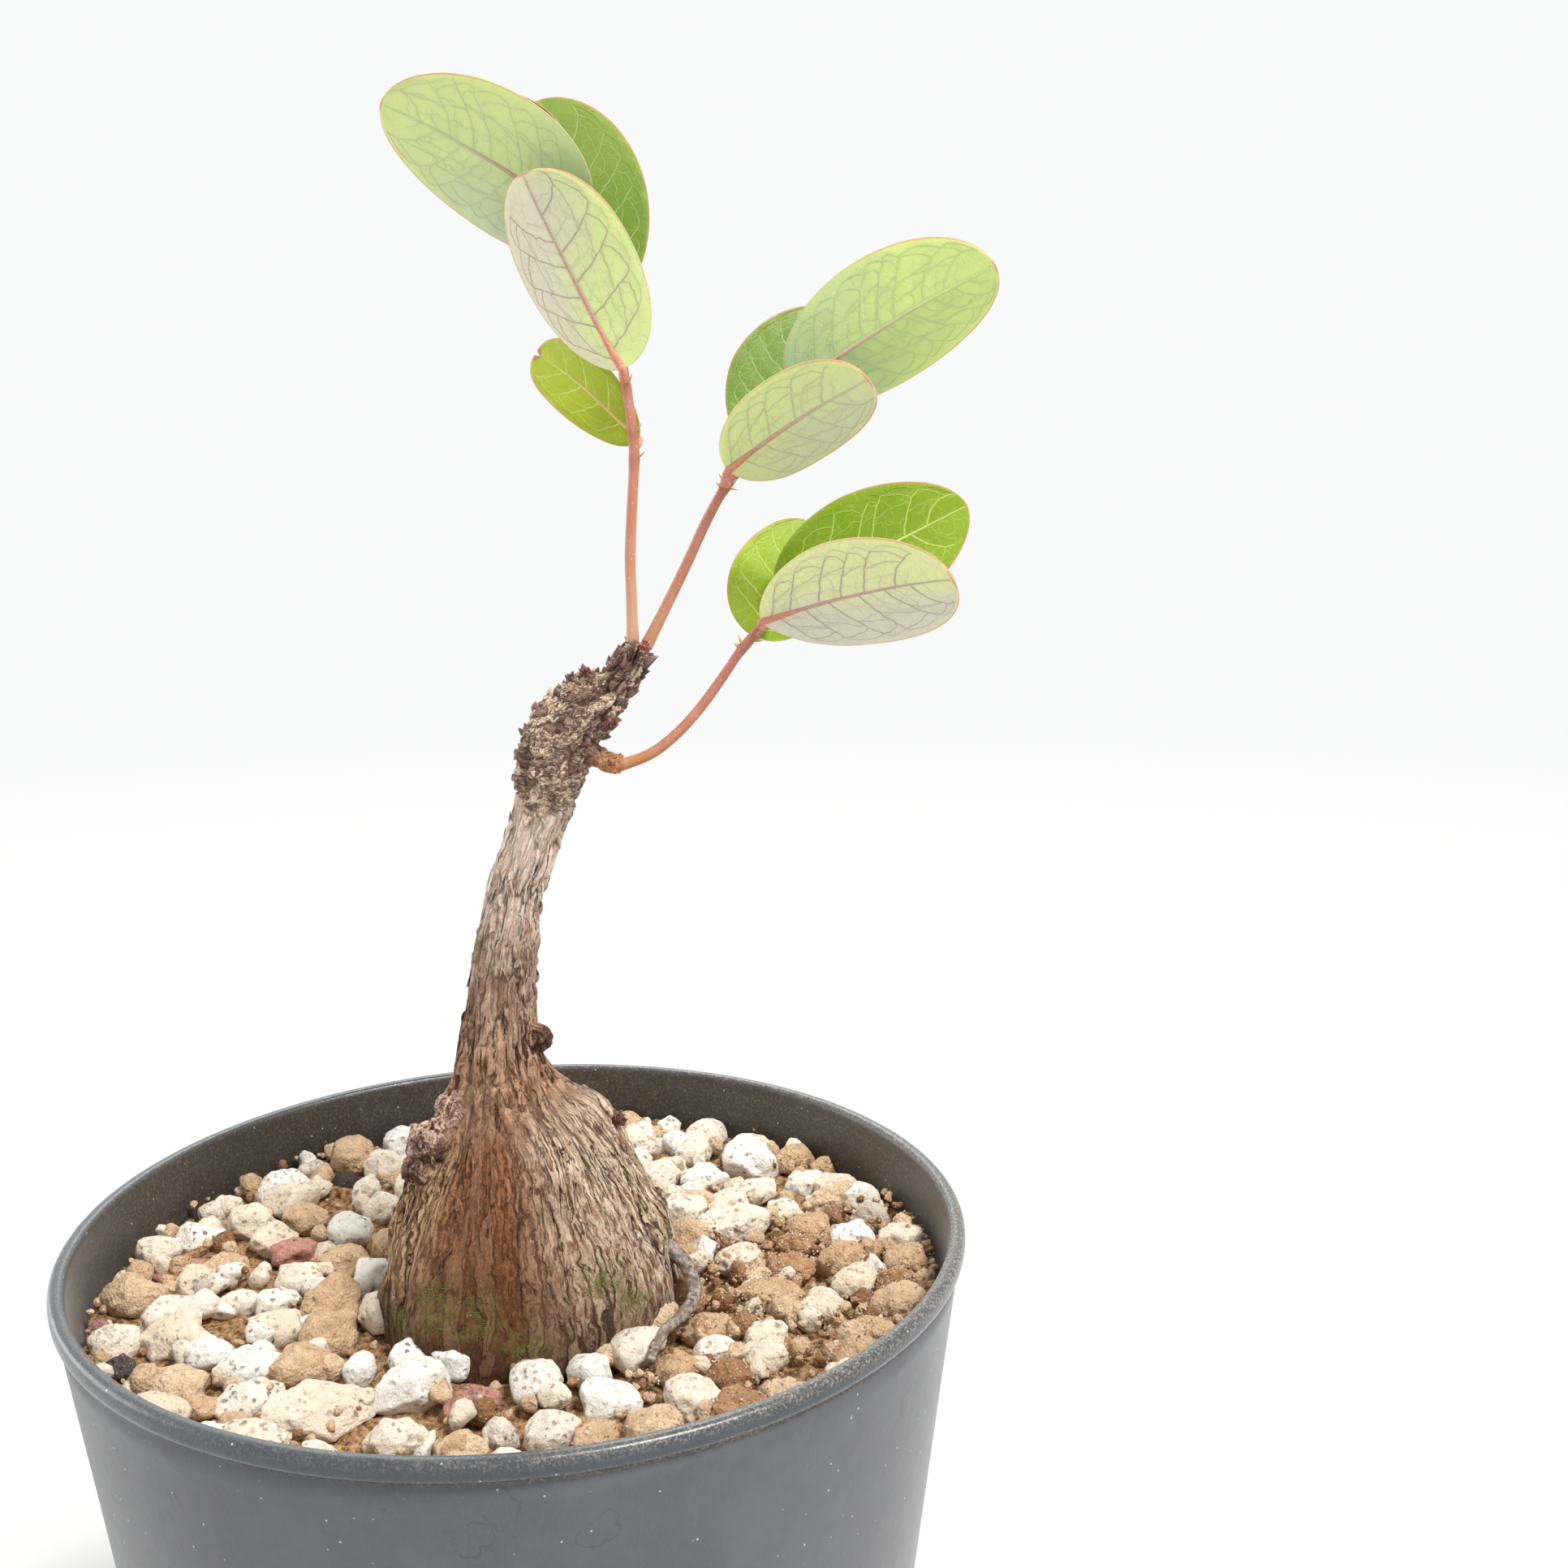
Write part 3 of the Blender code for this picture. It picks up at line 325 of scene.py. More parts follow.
# Stones as in the part's source: x, y, length, height above the mix, turn in degrees. Then the kind
LARGE_STONES = [
    (-45.0, 13.7, 8.6, 2.0, 8, "white"), (-41.3, 2.7, 8.2, 2.2, 10, "lava"),
    (-41.8, 19.6, 6.6, 2.6, 40, "cream"), (-35.1, 26.5, 9.0, 2.8, 0, "white"),
    (-28.1, 29.4, 5.4, 1.8, 60, "charcoal"), (-23.6, 24.3, 5.6, 3.0, 80, "cream"),
    (-34.5, 34.5, 5.6, 2.2, 20, "grey"), (-39.2, -8.9, 7.4, 3.2, 30, "cream"),
    (-36.2, -14.8, 9.6, 3.4, -20, "cream"), (-40.6, -21.0, 5.2, 2.4, 0, "charcoal"),
    (-34.2, -24.9, 9.0, 3.2, 10, "tan"), (-27.1, -20.6, 8.2, 2.6, 15, "white"),
    (-25.4, -27.2, 8.4, 2.4, 12, "white"), (-26.1, -12.3, 8.0, 3.2, 35, "cream"),
    (-31.7, -5.1, 5.8, 2.4, -10, "white"), (-20.3, -9.0, 8.6, 5.2, 75, "tan"),
    (-8.2, -26.8, 9.4, 4.2, 20, "white"), (-14.6, -21.9, 5.2, 3.2, 80, "white"),
    (-1.6, -29.2, 7.4, 2.6, 12, "lava"), (-17.2, -30.4, 11.4, 3.8, 25, "cream"),
    (-22.6, -35.2, 8.6, 3.0, 15, "cream"), (-26.0, -34.8, 6.0, 2.4, -25, "white"),
    (-7.2, -36.4, 7.4, 3.4, 10, "cream"), (7.8, -35.4, 7.4, 3.4, -10, "white"),
    (3.4, -40.6, 5.6, 2.6, 20, "white"), (12.9, -28.6, 7.6, 3.0, -12, "white"),
    (23.2, -20.2, 6.0, 3.6, 10, "white"), (29.4, -16.6, 6.2, 3.4, 30, "cream"),
    (28.8, -6.6, 9.0, 3.2, 12, "tan"), (26.2, 2.4, 7.2, 3.0, 0, "cream"),
    (21.4, 4.0, 5.0, 3.6, 85, "white"), (26.6, 31.8, 9.6, 4.4, -15, "white"),
    (36.4, 18.7, 6.0, 3.6, 20, "tan"), (39.4, 8.1, 7.6, 3.6, 35, "white"),
    (41.8, 0.8, 5.2, 2.2, 0, "white"), (42.4, 14.8, 6.0, 2.6, -30, "grey"),
    (33.0, 6.4, 6.4, 3.0, 5, "brown"), (24.8, 11.8, 10.4, 3.4, 15, "cream"),
    (31.4, 15.9, 6.2, 3.0, -20, "white"), (15.3, 45.4, 5.0, 3.0, 80, "white"),
    (17.4, 20.8, 5.2, 3.2, 0, "cream"), (16.0, 30.9, 6.2, 2.6, 0, "cream"),
    (33.6, 25.8, 6.6, 2.6, 0, "white"), (38.6, 24.4, 7.4, 3.0, -15, "cream"),
    (44.4, -4.3, 6.4, 3.0, 0, "brown"),
]
Stone = namedtuple("Stone", "middle sizes turn tilt corners kind")
# Corners of the two solids that stones are made from
FEW_CORNERS, MANY_CORNERS = 12, 42
PEBBLES, PEBBLE_RADIUS = 300, (1.0, 2.0)
CRUMBS, CRUMB_RADIUS = 900, (0.3, 0.75)
SAND = {"brown": 2600, "tan": 3200}
# How each kind is shaped: roundness, cuts and how shallow they are, lumps and pits in mm, fine noise
STONE_FORMS = {
    "white": (0.40, 8, 0.62, 0.06, 0.20, 0.10),
    "cream": (0.40, 8, 0.62, 0.12, 0.30, 0.10),
    "grey": (0.45, 6, 0.66, 0.08, 0.20, 0.08),
    "tan": (0.45, 6, 0.66, 0.28, 0.20, 0.11),
    "brown": (0.55, 5, 0.68, 0.42, 0.15, 0.14),
    "lava": (0.35, 7, 0.62, 0.20, 0.30, 0.11),
    "charcoal": (0.15, 7, 0.52, 0.12, 0.20, 0.12),
}
# Two colours of each kind, then how grainy, porous and speckled it is
STONE_LOOKS = {
    "white": ((250, 247, 241), (240, 228, 210), 0.10, 0.7, 0.8),
    "cream": ((248, 236, 218), (238, 220, 194), 0.2, 0.8, 0.6),
    "grey": ((230, 218, 204), (204, 188, 172), 0.3, 0.8, 0.8),
    "tan": ((246, 216, 180), (220, 182, 142), 0.7, 0.8, 0.1),
    "brown": ((214, 168, 126), (156, 110, 76), 0.9, 0.7, 0.1),
    "lava": ((206, 150, 134), (164, 128, 124), 0.5, 1.0, 0.3),
    "charcoal": ((116, 108, 100), (70, 64, 60), 0.5, 0.8, 0.0),
}
# Small stones away from the clay: each kind with the random number from 0 to 1 up to which it is drawn
PALE_KINDS = {"tan": 0.30, "cream": 0.62, "white": 0.93, "brown": 0.965, "grey": 0.99, "lava": 1.0}
# Rings on top of the mix and down its side, and corners in a ring
CORE_RINGS, CORE_WALL_RINGS, CORE_SIDES = 90, 12, 190
CORE_DROP, CORE_ROUGHNESS = 0.4, 0.7

# Camera and light. Each sun: the way its light goes, strength, and spread in degrees
LENS, SENSOR = 43.49, 36.0
CAMERA_PLACE = (31.98, -208.73, 190.66)
CAMERA_PITCH, CAMERA_ROLL = math.radians(11.85), -0.0142
HORIZON = (0.945, 0.955, 0.95, 1.0)
SKY = (0.80, 0.81, 0.82, 1.0)
SUN_COLOUR = (1.0, 0.985, 0.96)
SUNS = [
    ("sun", (-0.42, 0.30, -0.86), 3.6, 13.0),
    ("fill", (0.9, -0.30, -0.18), 1.6, 45.0),
    ("rim", (0.1, -0.80, -0.60), 0.4, 16.0),
]


# Numbers and noise

def srgb(red, green, blue):
    """A colour written as 0 to 255 sRGB, as linear light with full alpha."""
    shares = [part / 255.0 for part in (red, green, blue)]
    return (*[s / 12.92 if s <= 0.04045 else ((s + 0.055) / 1.055) ** 2.4 for s in shares], 1.0)


def draws(draw, first, second, count=3):
    """So many random numbers from one kind of draw, which takes two numbers."""
    return np.array([draw(first, second) for _ in range(count)])


def smooth_step(value, low, high):
    """Rises from 0 at low to 1 at high, with level ends."""
    share = np.clip((value - low) / (high - low), 0.0, 1.0)
    return share * share * (3.0 - 2.0 * share)


def lattice(cells, seed):
    """A fixed random number from 0 to 1 for each row of three whole numbers."""
    x, y, z = (cells & 0xFFFFFFFF).astype(np.uint32).T
    mixed = x * np.uint32(374761393) + y * np.uint32(668265263) + z * np.uint32(2246822519)
    mixed = mixed + np.uint32(seed * 7919 + 1)
    mixed = (mixed ^ (mixed >> np.uint32(13))) * np.uint32(1274126177)
    mixed = (mixed ^ (mixed >> np.uint32(15))) * np.uint32(2246822519)
    return ((mixed ^ (mixed >> np.uint32(16))) & np.uint32(0xFFFFFF)) / float(0xFFFFFF)


def soft_noise(points, seed):
    """Smooth noise from -1 to 1 at each row of points, with features one unit wide."""
    cells = np.floor(points).astype(np.int64)
    share = points - cells
    share = share * share * (3.0 - 2.0 * share)
    total = np.zeros(len(points))
    for corner in itertools.product((0, 1), repeat=3):
        weight = np.prod(np.where(np.array(corner) == 1, share, 1.0 - share), axis=1)
        total += weight * lattice(cells + np.array(corner), seed)
    return 2.0 * total - 1.0


def fractal(points, octaves, seed):
    """Noise with ever finer and weaker layers."""
    total = np.zeros(len(points))
    for octave in range(octaves):
        total += soft_noise(points * 2.0**octave + 17.3 * octave, seed + octave) * 0.5**octave
    return total


def noise_rows(points, seed):
    """Three noises at each row of points."""
    return np.column_stack([soft_noise(points, seed + axis) for axis in range(3)])


def cell_distances(points, seed):
    """Distances to the nearest two of points scattered one to a cell, and the nearest one's own number."""
    cells = np.floor(points).astype(np.int64)
    nearest = np.full(len(points), 9.0)
    second = np.full(len(points), 9.0)
    number = np.zeros(len(points))
    for step in itertools.product((-1, 0, 1), repeat=3):
        there = cells + np.array(step)
        spot = there + np.column_stack([lattice(there, seed + axis) for axis in range(3)])
        gap = np.linalg.norm(points - spot, axis=1)
        second = np.minimum(second, np.maximum(nearest, gap))
        number = np.where(gap < nearest, lattice(there, seed + 3), number)
        nearest = np.minimum(nearest, gap)
    return nearest, second, number


def spline_points(stations, steps):
    """Reads a Catmull-Rom curve through rows of numbers, with so many steps between stations."""
    rows = np.array(stations, float)
    padded = np.vstack([rows[0], rows, rows[-1]])
    share = np.linspace(0.0, 1.0, steps, endpoint=False)[:, None]
    pieces = []
    for index in range(len(rows) - 1):
        a, b, c, d = padded[index : index + 4]
        bend = 2 * a - 5 * b + 4 * c - d
        twist = 3 * b - a - 3 * c + d
        pieces.append(0.5 * (2 * b + (c - a) * share + bend * share**2 + twist * share**3))
    return np.vstack([*pieces, rows[-1:]])


def line_run(points):
    """The distance along a line at each of its points."""
    steps = np.linalg.norm(np.diff(points[:, :3], axis=0), axis=1)
    return np.concatenate([[0.0], np.cumsum(steps)])


def read_line(points, run, places):
    """Reads rows of numbers at places along a line."""
    return np.column_stack([np.interp(places, run, column) for column in points.T])


def unit(vectors):
    return vectors / np.maximum(np.linalg.norm(vectors, axis=-1, keepdims=True), 1e-9)


def nearest(points, spot):
    """The number of the point that is nearest to a spot."""
    return np.argmin(((points - spot) ** 2).sum(axis=1))


def line_frames(points):
    """Unit vectors along, across and deep at each point of a line, without twist."""
    along = unit(np.gradient(points, axis=0))
    across = np.zeros_like(points)
    last = np.eye(3)[np.argmin(np.abs(along[0]))]
    for index, way in enumerate(along):
        last = unit(last - way * last.dot(way))
        across[index] = last
    return along, across, np.cross(along, across)


# Shapes

class Shape:
    """Gathers points, triangles and three look values a point, until they become one object."""

    def __init__(self):
        self.points, self.faces, self.kinds, self.looks, self.smooth = [], [], [], [], []
        self.count = 0

    def add(self, points, faces, kind=0, look=(0.0, 0.0, 0.0), smooth=True):
        """Adds a part whose faces use material number kind. Look is one row, or a row a point."""
        points = np.asarray(points, float)
        faces = np.asarray(faces, int)
        self.points.append(points)
        self.faces.append(faces + self.count)
        self.kinds.append(np.broadcast_to(kind, len(faces)))
        self.looks.append(np.broadcast_to(look, (len(points), 3)))
        self.smooth.append(np.broadcast_to(smooth, len(faces)))
        self.count += len(points)

    def build(self, name, materials, slot, *nodes):
        """Makes the object, which rides on the body and stands for the CAD nodes that are named."""
        mesh = bpy.data.meshes.new(name)
        mesh.from_pydata((np.vstack(self.points) * MM).tolist(), [], np.vstack(self.faces).tolist())
        mesh.polygons.foreach_set("material_index", np.concatenate(self.kinds).astype(np.int32))
        mesh.polygons.foreach_set("use_smooth", np.concatenate(self.smooth))
        look = mesh.attributes.new("look", "FLOAT_VECTOR", "POINT")
        look.data.foreach_set("vector", np.vstack(self.looks).astype(np.float32).ravel())
        made = show(bpy.data.objects.new(name, mesh))
        for material in materials:
            mesh.materials.append(material)
        return place(made, slot, *nodes)


def place(made, slot, *nodes):
    """Gives the object its body, and hides the CAD nodes that it stands for. Slot is not used."""
    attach(made, "root")
    if nodes:
        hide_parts(*nodes)
    return made


def show(made):
    """Puts an object into the scene."""
    bpy.context.scene.collection.objects.link(made)
    return made


def looks(count, *values):
    """Look rows for count points. Each value is one number, or a number a point."""
    return np.column_stack([np.broadcast_to(value, count) for value in values])


def rod_looks(rows, sides):
    """Rows for every corner of a closed rod, from one row a ring."""
    return np.vstack([rows.repeat(sides, axis=0), rows[:1], rows[-1:]])


def ring_angles(count):
    return 2 * np.pi * np.arange(count) / count


def turned_grid(profile, sides):
    """Angle, radius and height of every corner of a turned form, ring by ring."""
    angle = np.tile(ring_angles(sides), len(profile))
    return angle, np.repeat(profile[:, 0], sides), np.repeat(profile[:, 1], sides)


def turned_points(angle, radius, height):
    return np.column_stack([radius * np.cos(angle), radius * np.sin(angle), height])


def quads(a, b, c, d):
    """Four-sided faces from rows of their corners, each cut into two triangles."""
    return np.vstack([np.column_stack([a, b, c]), np.column_stack([a, c, d])])


def ring_faces(counts):
    """Triangles between rings of corners. A ring has as many as the last, twice or half as many."""
    faces = []
    start = 0
    for here, ahead in zip(counts, counts[1:]):
        a, b = start, start + here
        k = np.arange(min(here, ahead))
        if here == ahead:
            k2 = (k + 1) % here
            faces += [quads(a + k, a + k2, b + k2, b + k)]
        elif ahead == 2 * here:
            k2, low, mid, high = (k + 1) % here, 2 * k, 2 * k + 1, (2 * k + 2) % ahead
            faces += [np.column_stack([a + k, b + mid, b + low]), np.column_stack([a + k, a + k2, b + mid])]
            faces += [np.column_stack([a + k2, b + high, b + mid])]
        else:
            k2, low, mid, high = (k + 1) % ahead, 2 * k, 2 * k + 1, (2 * k + 2) % here
            faces += [np.column_stack([a + low, a + mid, b + k]), np.column_stack([a + mid, b + k2, b + k])]
            faces += [np.column_stack([a + mid, a + high, b + k2])]
        start = b
    return np.vstack(faces)


def end_caps(points, counts):
    """Closes the first and last ring: the points with two middles added, and the faces."""
    first = np.arange(counts[0])
    last = len(points) - counts[-1] + np.arange(counts[-1])
    middles = [points[first].mean(axis=0), points[last].mean(axis=0)]
    low, high = len(points), len(points) + 1
    faces = [np.column_stack([np.full(len(first), low), np.roll(first, -1), first])]
    faces += [np.column_stack([np.full(len(last), high), last, np.roll(last, -1)])]
    return np.vstack([points, middles]), np.vstack(faces)


def closed_rings(points, counts):
    """Rings of corners joined to a closed skin: the points with two middles added, and the faces."""
    capped, caps = end_caps(points, counts)
    return capped, np.vstack([ring_faces(counts), caps])


def sweep(line, radii, sides, flat=1.0):
    """A closed round rod along a line. Flat squeezes it across one way. Returns points and faces."""
    line = np.asarray(line, float)
    radii = np.broadcast_to(radii, len(line))
    _, across, deep = line_frames(line)
    angles = ring_angles(sides)[None, :, None]
    spread = across[:, None] * np.cos(angles) + flat * deep[:, None] * np.sin(angles)
    points = (line[:, None] + radii[:, None, None] * spread).reshape(-1, 3)
    return closed_rings(points, [sides] * len(line))


def split_triangle(face, mids):
    """Cuts a triangle at the middles of its sides. A side without a middle stays whole."""
    while mids.count(None) in (1, 2) and (mids[0] is None or mids[2] is not None):
        face, mids = face[1:] + face[:1], mids[1:] + mids[:1]
    a, b, c = face
    ab, bc, ca = mids
    if ab is None:
        return [face]
    if bc is None:
        return [[a, ab, c], [ab, b, c]]
    if ca is None:
        return [[a, ab, bc], [ab, b, bc], [a, bc, c]]
    return [[a, ab, ca], [ab, b, bc], [ca, bc, c], [ab, bc, ca]]


def ball_template(level, finer):
    """An icosphere's corners, and a finer one as shares of those corners with its triangles.

    The last step leaves the underside as it is, because the mix hides it."""
    shape = bmesh.new()
    bmesh.ops.create_icosphere(shape, subdivisions=level, radius=1.0)
    corners = np.array([corner.co[:] for corner in shape.verts])
    faces = [[corner.index for corner in face.verts] for face in shape.faces]
    shape.free()
    rows = list(np.eye(len(corners)))
    for step in range(finer):
        middles = {}
        split = []
        for face in faces:
            mids = []
            for a, b in zip(face, face[1:] + face[:1]):
                key = (min(a, b), max(a, b))
                if key not in middles:
                    middle = (rows[a] + rows[b]) / 2
                    coarse = step == finer - 1 and (middle @ corners)[2] < UNDERSIDE
                    middles[key] = None if coarse else len(rows)
                    if not coarse:
                        rows.append(middle)
                mids.append(middles[key])
            split += split_triangle(face, mids)
        faces = split
    return corners, np.array(rows), np.array(faces)


def turn_matrix(turn, tilt):
    return np.array(Matrix.Rotation(turn, 3, "Z") @ Matrix.Rotation(tilt, 3, "Y"))


def aim_matrix(way, spin=0.0):
    """Turns the Z axis to a direction."""
    turned = Vector((0.0, 0.0, 1.0)).rotation_difference(Vector(way).normalized()).to_matrix()
    return np.array(turned @ Matrix.Rotation(spin, 3, "Z"))


# Materials

class Nodes:
    """Builds one material from short calls. Places are in millimetres."""

    def __init__(self, name, **constants):
        self.material = bpy.data.materials.new(name)
        self.material.use_nodes = True
        self.tree = self.material.node_tree
        self.shader = self.tree.nodes["Principled BSDF"]
        for socket, value in constants.items():
            self.shader.inputs[socket.replace("_", " ")].default_value = value

    def put(self, socket, value):
        if isinstance(value, bpy.types.NodeSocket):
            self.tree.links.new(value, socket)
        else:
            socket.default_value = value

    def add(self, kind, inputs, **settings):
        node = self.tree.nodes.new("ShaderNode" + kind)
        for key, value in settings.items():
            setattr(node, key, value)
        for key, value in inputs.items():
            self.put(node.inputs[key], value)
        return node

    def calc(self, operation, first, second=0.0, clamp=False):
        return self.add("Math", {0: first, 1: second}, operation=operation, use_clamp=clamp).outputs[0]

    def times(self, first, second):
        return self.calc("MULTIPLY", first, second)

    def plus(self, first, second, clamp=False):
        return self.calc("ADD", first, second, clamp)

    def minus(self, first, second):
        return self.calc("SUBTRACT", first, second)

    def most(self, first, second):
        """The larger of two numbers."""
        return self.calc("MAXIMUM", first, second)

    def size(self, value):
        """A number without its sign."""
        return self.calc("ABSOLUTE", value)

    def vector(self, operation, first, second):
        return self.add("VectorMath", {0: first, 1: second}, operation=operation).outputs[0]

    def stretch(self, where, x, y, z):
        """Multiplies a place's three numbers."""
        return self.vector("MULTIPLY", where, (x, y, z))

    def shift(self, where, step):
        return self.vector("ADD", where, step)

    def here(self):
        """The place on the object in millimetres."""
        coords = self.add("TexCoord", {}).outputs["Object"]
        return self.stretch(coords, 1000.0, 1000.0, 1000.0)

    def parts(self, whole):
        """The three numbers of a place or a colour."""
        return self.add("SeparateXYZ", {0: whole}).outputs[:3]

    def stored(self, name, output="Fac"):
        """What the mesh stores under a name."""
        return self.add("Attribute", {}, attribute_name=name).outputs[output]

    def look(self):
        """The three look values of the mesh."""
        return self.parts(self.stored("look", "Vector"))

    def noise(self, where, scale, detail=3.0, rough=0.55):
        inputs = {"Vector": where, "Scale": scale, "Detail": detail, "Roughness": rough}
        return self.add("TexNoise", inputs).outputs[0]

    def shake(self, where, scale, reach, detail=2.0):
        """Noise of three numbers, each from 0 to its own reach."""
        colour = self.add("TexNoise", {"Vector": where, "Scale": scale, "Detail": detail}).outputs["Color"]
        return self.stretch(colour, *reach)

    def blend(self, share, first, second):
        """Goes from the first number to the second."""
        node = self.add("Mix", {}, data_type="FLOAT")
        self.put(node.inputs[0], share)
        self.put(node.inputs[2], first)
        self.put(node.inputs[3], second)
        return node.outputs[0]

    def cells(self, where, scale, feature="F1"):
        """Distance in a pattern of scattered cells."""
        inputs = {"Vector": where, "Scale": scale}
        return self.add("TexVoronoi", inputs, feature=feature).outputs["Distance"]

    def spots(self, where, scale, size, area, room):
        """Spots, one to a cell, only where area is high. Size and room are where they rise from and to."""
        return self.times(self.rise(self.cells(where, scale), *size), self.rise(area, *room))

    def rise(self, value, low, high):
        """Goes from 0 at low to 1 at high."""
        inputs = {"Value": value, "From Min": low, "From Max": high}
        return self.add("MapRange", inputs, interpolation_type="SMOOTHSTEP").outputs[0]

    def mix(self, share, first, second):
        """Goes from the first colour to the second."""
        node = self.add("Mix", {}, data_type="RGBA")
        self.put(node.inputs[0], share)
        self.put(node.inputs[6], first)
        self.put(node.inputs[7], second)
        return node.outputs[2]

    def tint(self, under, over, share, strength=None):
        """Lays a colour over another by a share from 0 to 1, times strength if one is given."""
        return self.mix(share if strength is None else self.times(share, strength), under, over)

    def bump(self, height, depth, under=None):
        """Bumps the surface by height times depth in millimetres, over another bump if one is given."""
        node = self.add("Bump", {"Height": height, "Distance": depth * MM})
        if under is not None:
            self.put(node.inputs["Normal"], under)
        return node.outputs[0]

    def finish(self, colour, roughness, normal=None):
        self.put(self.shader.inputs["Base Color"], colour)
        self.put(self.shader.inputs["Roughness"], roughness)
        if normal is not None:
            self.put(self.shader.inputs["Normal"], normal)
        return self.material


def pot_material(name, wall, rough, sheen, dust, dusty):
    """Moulded plastic with fine scratches, dust specks, water marks and tan dirt along its bead."""
    n = Nodes(name, Specular_IOR_Level=0.6, Sheen_Weight=sheen, Sheen_Roughness=0.4)
    here = n.here()
    x, _, z = n.parts(here)
    cloud = n.noise(here, 0.06, 5.0, 0.65)
    lighter = tuple(min(1.4 * part, 1.0) for part in wall)
    colour = n.mix(n.times(n.rise(cloud, 0.42, 0.62), 0.5), wall, lighter)
    fine = n.noise(n.stretch(here, 1.0, 1.0, 0.3), 3.2, 6.0, 0.75)
    colour = n.tint(colour, lighter, n.rise(fine, 0.45, 0.7), 0.6)
    ragged = n.shift(here, n.shake(here, 0.3, (6.0, 6.0, 6.0), 4.0))
    ring = n.size(n.minus(n.cells(ragged, 0.12), 0.26))
    ring = n.times(n.rise(ring, 0.024, 0.006), n.rise(n.noise(here, 0.16, 4.0), 0.46, 0.56))
    colour = n.tint(colour, tuple(0.6 * part for part in wall), ring, 0.6)
    speck = n.spots(here, 0.62, (0.10, 0.04), n.noise(here, 0.25, 2.0), (0.43, 0.56))
    colour = n.tint(colour, srgb(205, 210, 216), speck, 0.8)
    grit = n.rise(n.noise(here, 3.0, 6.0, 0.8), 0.47, 0.64)
    at_line = n.rise(n.size(n.minus(z, POT_HEIGHT - RIM_DEPTH)), 0.8, 0.1)
    at_top = n.rise(z, POT_HEIGHT - 1.6, POT_HEIGHT - 0.4)
    to_right = n.plus(n.times(n.rise(x, -20.0, 45.0), 0.8), 0.25)
    where = n.times(n.most(at_line, n.times(at_top, 0.7)), to_right)
    where = n.most(where, dusty)
    colour = n.tint(colour, dust, n.times(grit, where), 0.9)
    grain = n.bump(n.noise(here, 5.0, 4.0, 0.6), 0.03)
    dents = n.bump(n.noise(here, 0.35, 2.0), 0.06, grain)
    return n.finish(colour, n.plus(n.times(fine, 0.25), rough), dents)


def fissures(n, where, line, ledge):
    """From one noise: thin dark lines that run along it, and a ledge that rises across each line."""
    wave = n.noise(where, 1.0, 1.5, 0.45)
    gap = n.size(n.minus(wave, 0.5))
    return n.rise(gap, line, 0.3 * line), n.rise(wave, 0.5 - ledge, 0.5 + ledge)


def bark_lines(n, run, wobble, spread):
    """Streaks, then the lines and ledges of long fissures and of finer ones, all along the trunk."""
    flow = n.shift(n.stretch(run, spread, spread, 0.28), wobble)
    wide = fissures(n, n.stretch(flow, 0.55, 0.55, 0.20), 0.027, 0.05)
    fine = fissures(n, n.stretch(flow, 1.5, 1.5, 0.8), 0.030, 0.08)
    return n.noise(flow, 1.6, 6.0, 0.7), *wide, *fine


def crown_colour(n, here, crumb):
    """Wrinkled scraps of bark of many tones with dark lines between them, and their height."""
    where = n.shift(n.stretch(here, 0.9, 0.9, 1.3), n.shake(here, 0.6, (3.0, 3.0, 3.0), 3.0))
    tone = n.parts(n.add("TexVoronoi", {"Vector": where, "Scale": 0.62}).outputs["Color"])[0]
    gap = n.rise(n.cells(where, 0.62, "DISTANCE_TO_EDGE"), 0.09, 0.01)
    line, fold = fissures(n, n.stretch(where, 0.8, 0.8, 0.8), 0.020, 0.08)
    fibre = n.noise(n.stretch(where, 0.8, 0.8, 2.4), 1.4, 4.0, 0.7)
    colour = n.mix(n.rise(fibre, 0.38, 0.62), srgb(130, 96, 78), srgb(250, 224, 196))
    colour = n.tint(colour, srgb(102, 70, 64), n.rise(tone, 0.35, 0.1), 0.75)
    colour = n.tint(colour, srgb(248, 226, 196), n.rise(tone, 0.75, 0.95), 0.5)
    mossy = n.rise(n.noise(n.shift(here, (7.0, 3.0, 5.0)), 0.4, 2.0), 0.54, 0.64)
    colour = n.tint(colour, srgb(178, 174, 126), mossy, 0.15)
    colour = n.tint(colour, srgb(84, 60, 54), n.rise(crumb, 0.45, 0.25), 0.5)
    colour = n.tint(colour, srgb(66, 44, 36), n.most(n.times(gap, 0.9), n.times(line, 0.7)), 0.8)
    return colour, n.plus(n.times(fold, 0.5), tone)


def bark_lines_and_painted_shade(n, here, z, front, line, fine_line, relief, crack):
    """How dark the bark is: its own dark fissure lines, and painted shade in the cracks and hollows of its
    shape. The caudex has fewer in front.
    """
    wide = n.times(n.rise(n.noise(here, 0.16, 2.0), 0.36, 0.48), n.blend(front, 1.0, 0.55))
    wide = n.times(wide, n.blend(n.rise(z, 122.0, 138.0), 1.0, 0.6))
    fine = n.times(n.rise(n.noise(here, 0.40, 2.0), 0.42, 0.56), n.blend(front, 0.8, 0.2))
    fine = n.times(fine, n.rise(z, 144.0, 126.0))
    dark = n.most(n.times(line, wide), n.times(fine_line, fine))
    # Painted shade in the cracks of the bark's shape.
    dark = n.most(dark, n.times(n.rise(crack, 0.6, 1.0), 0.6))
    # Painted shade in the low hollows of the bark's relief.
    return n.most(dark, n.times(n.rise(relief, 0.24, 0.02), 0.8))


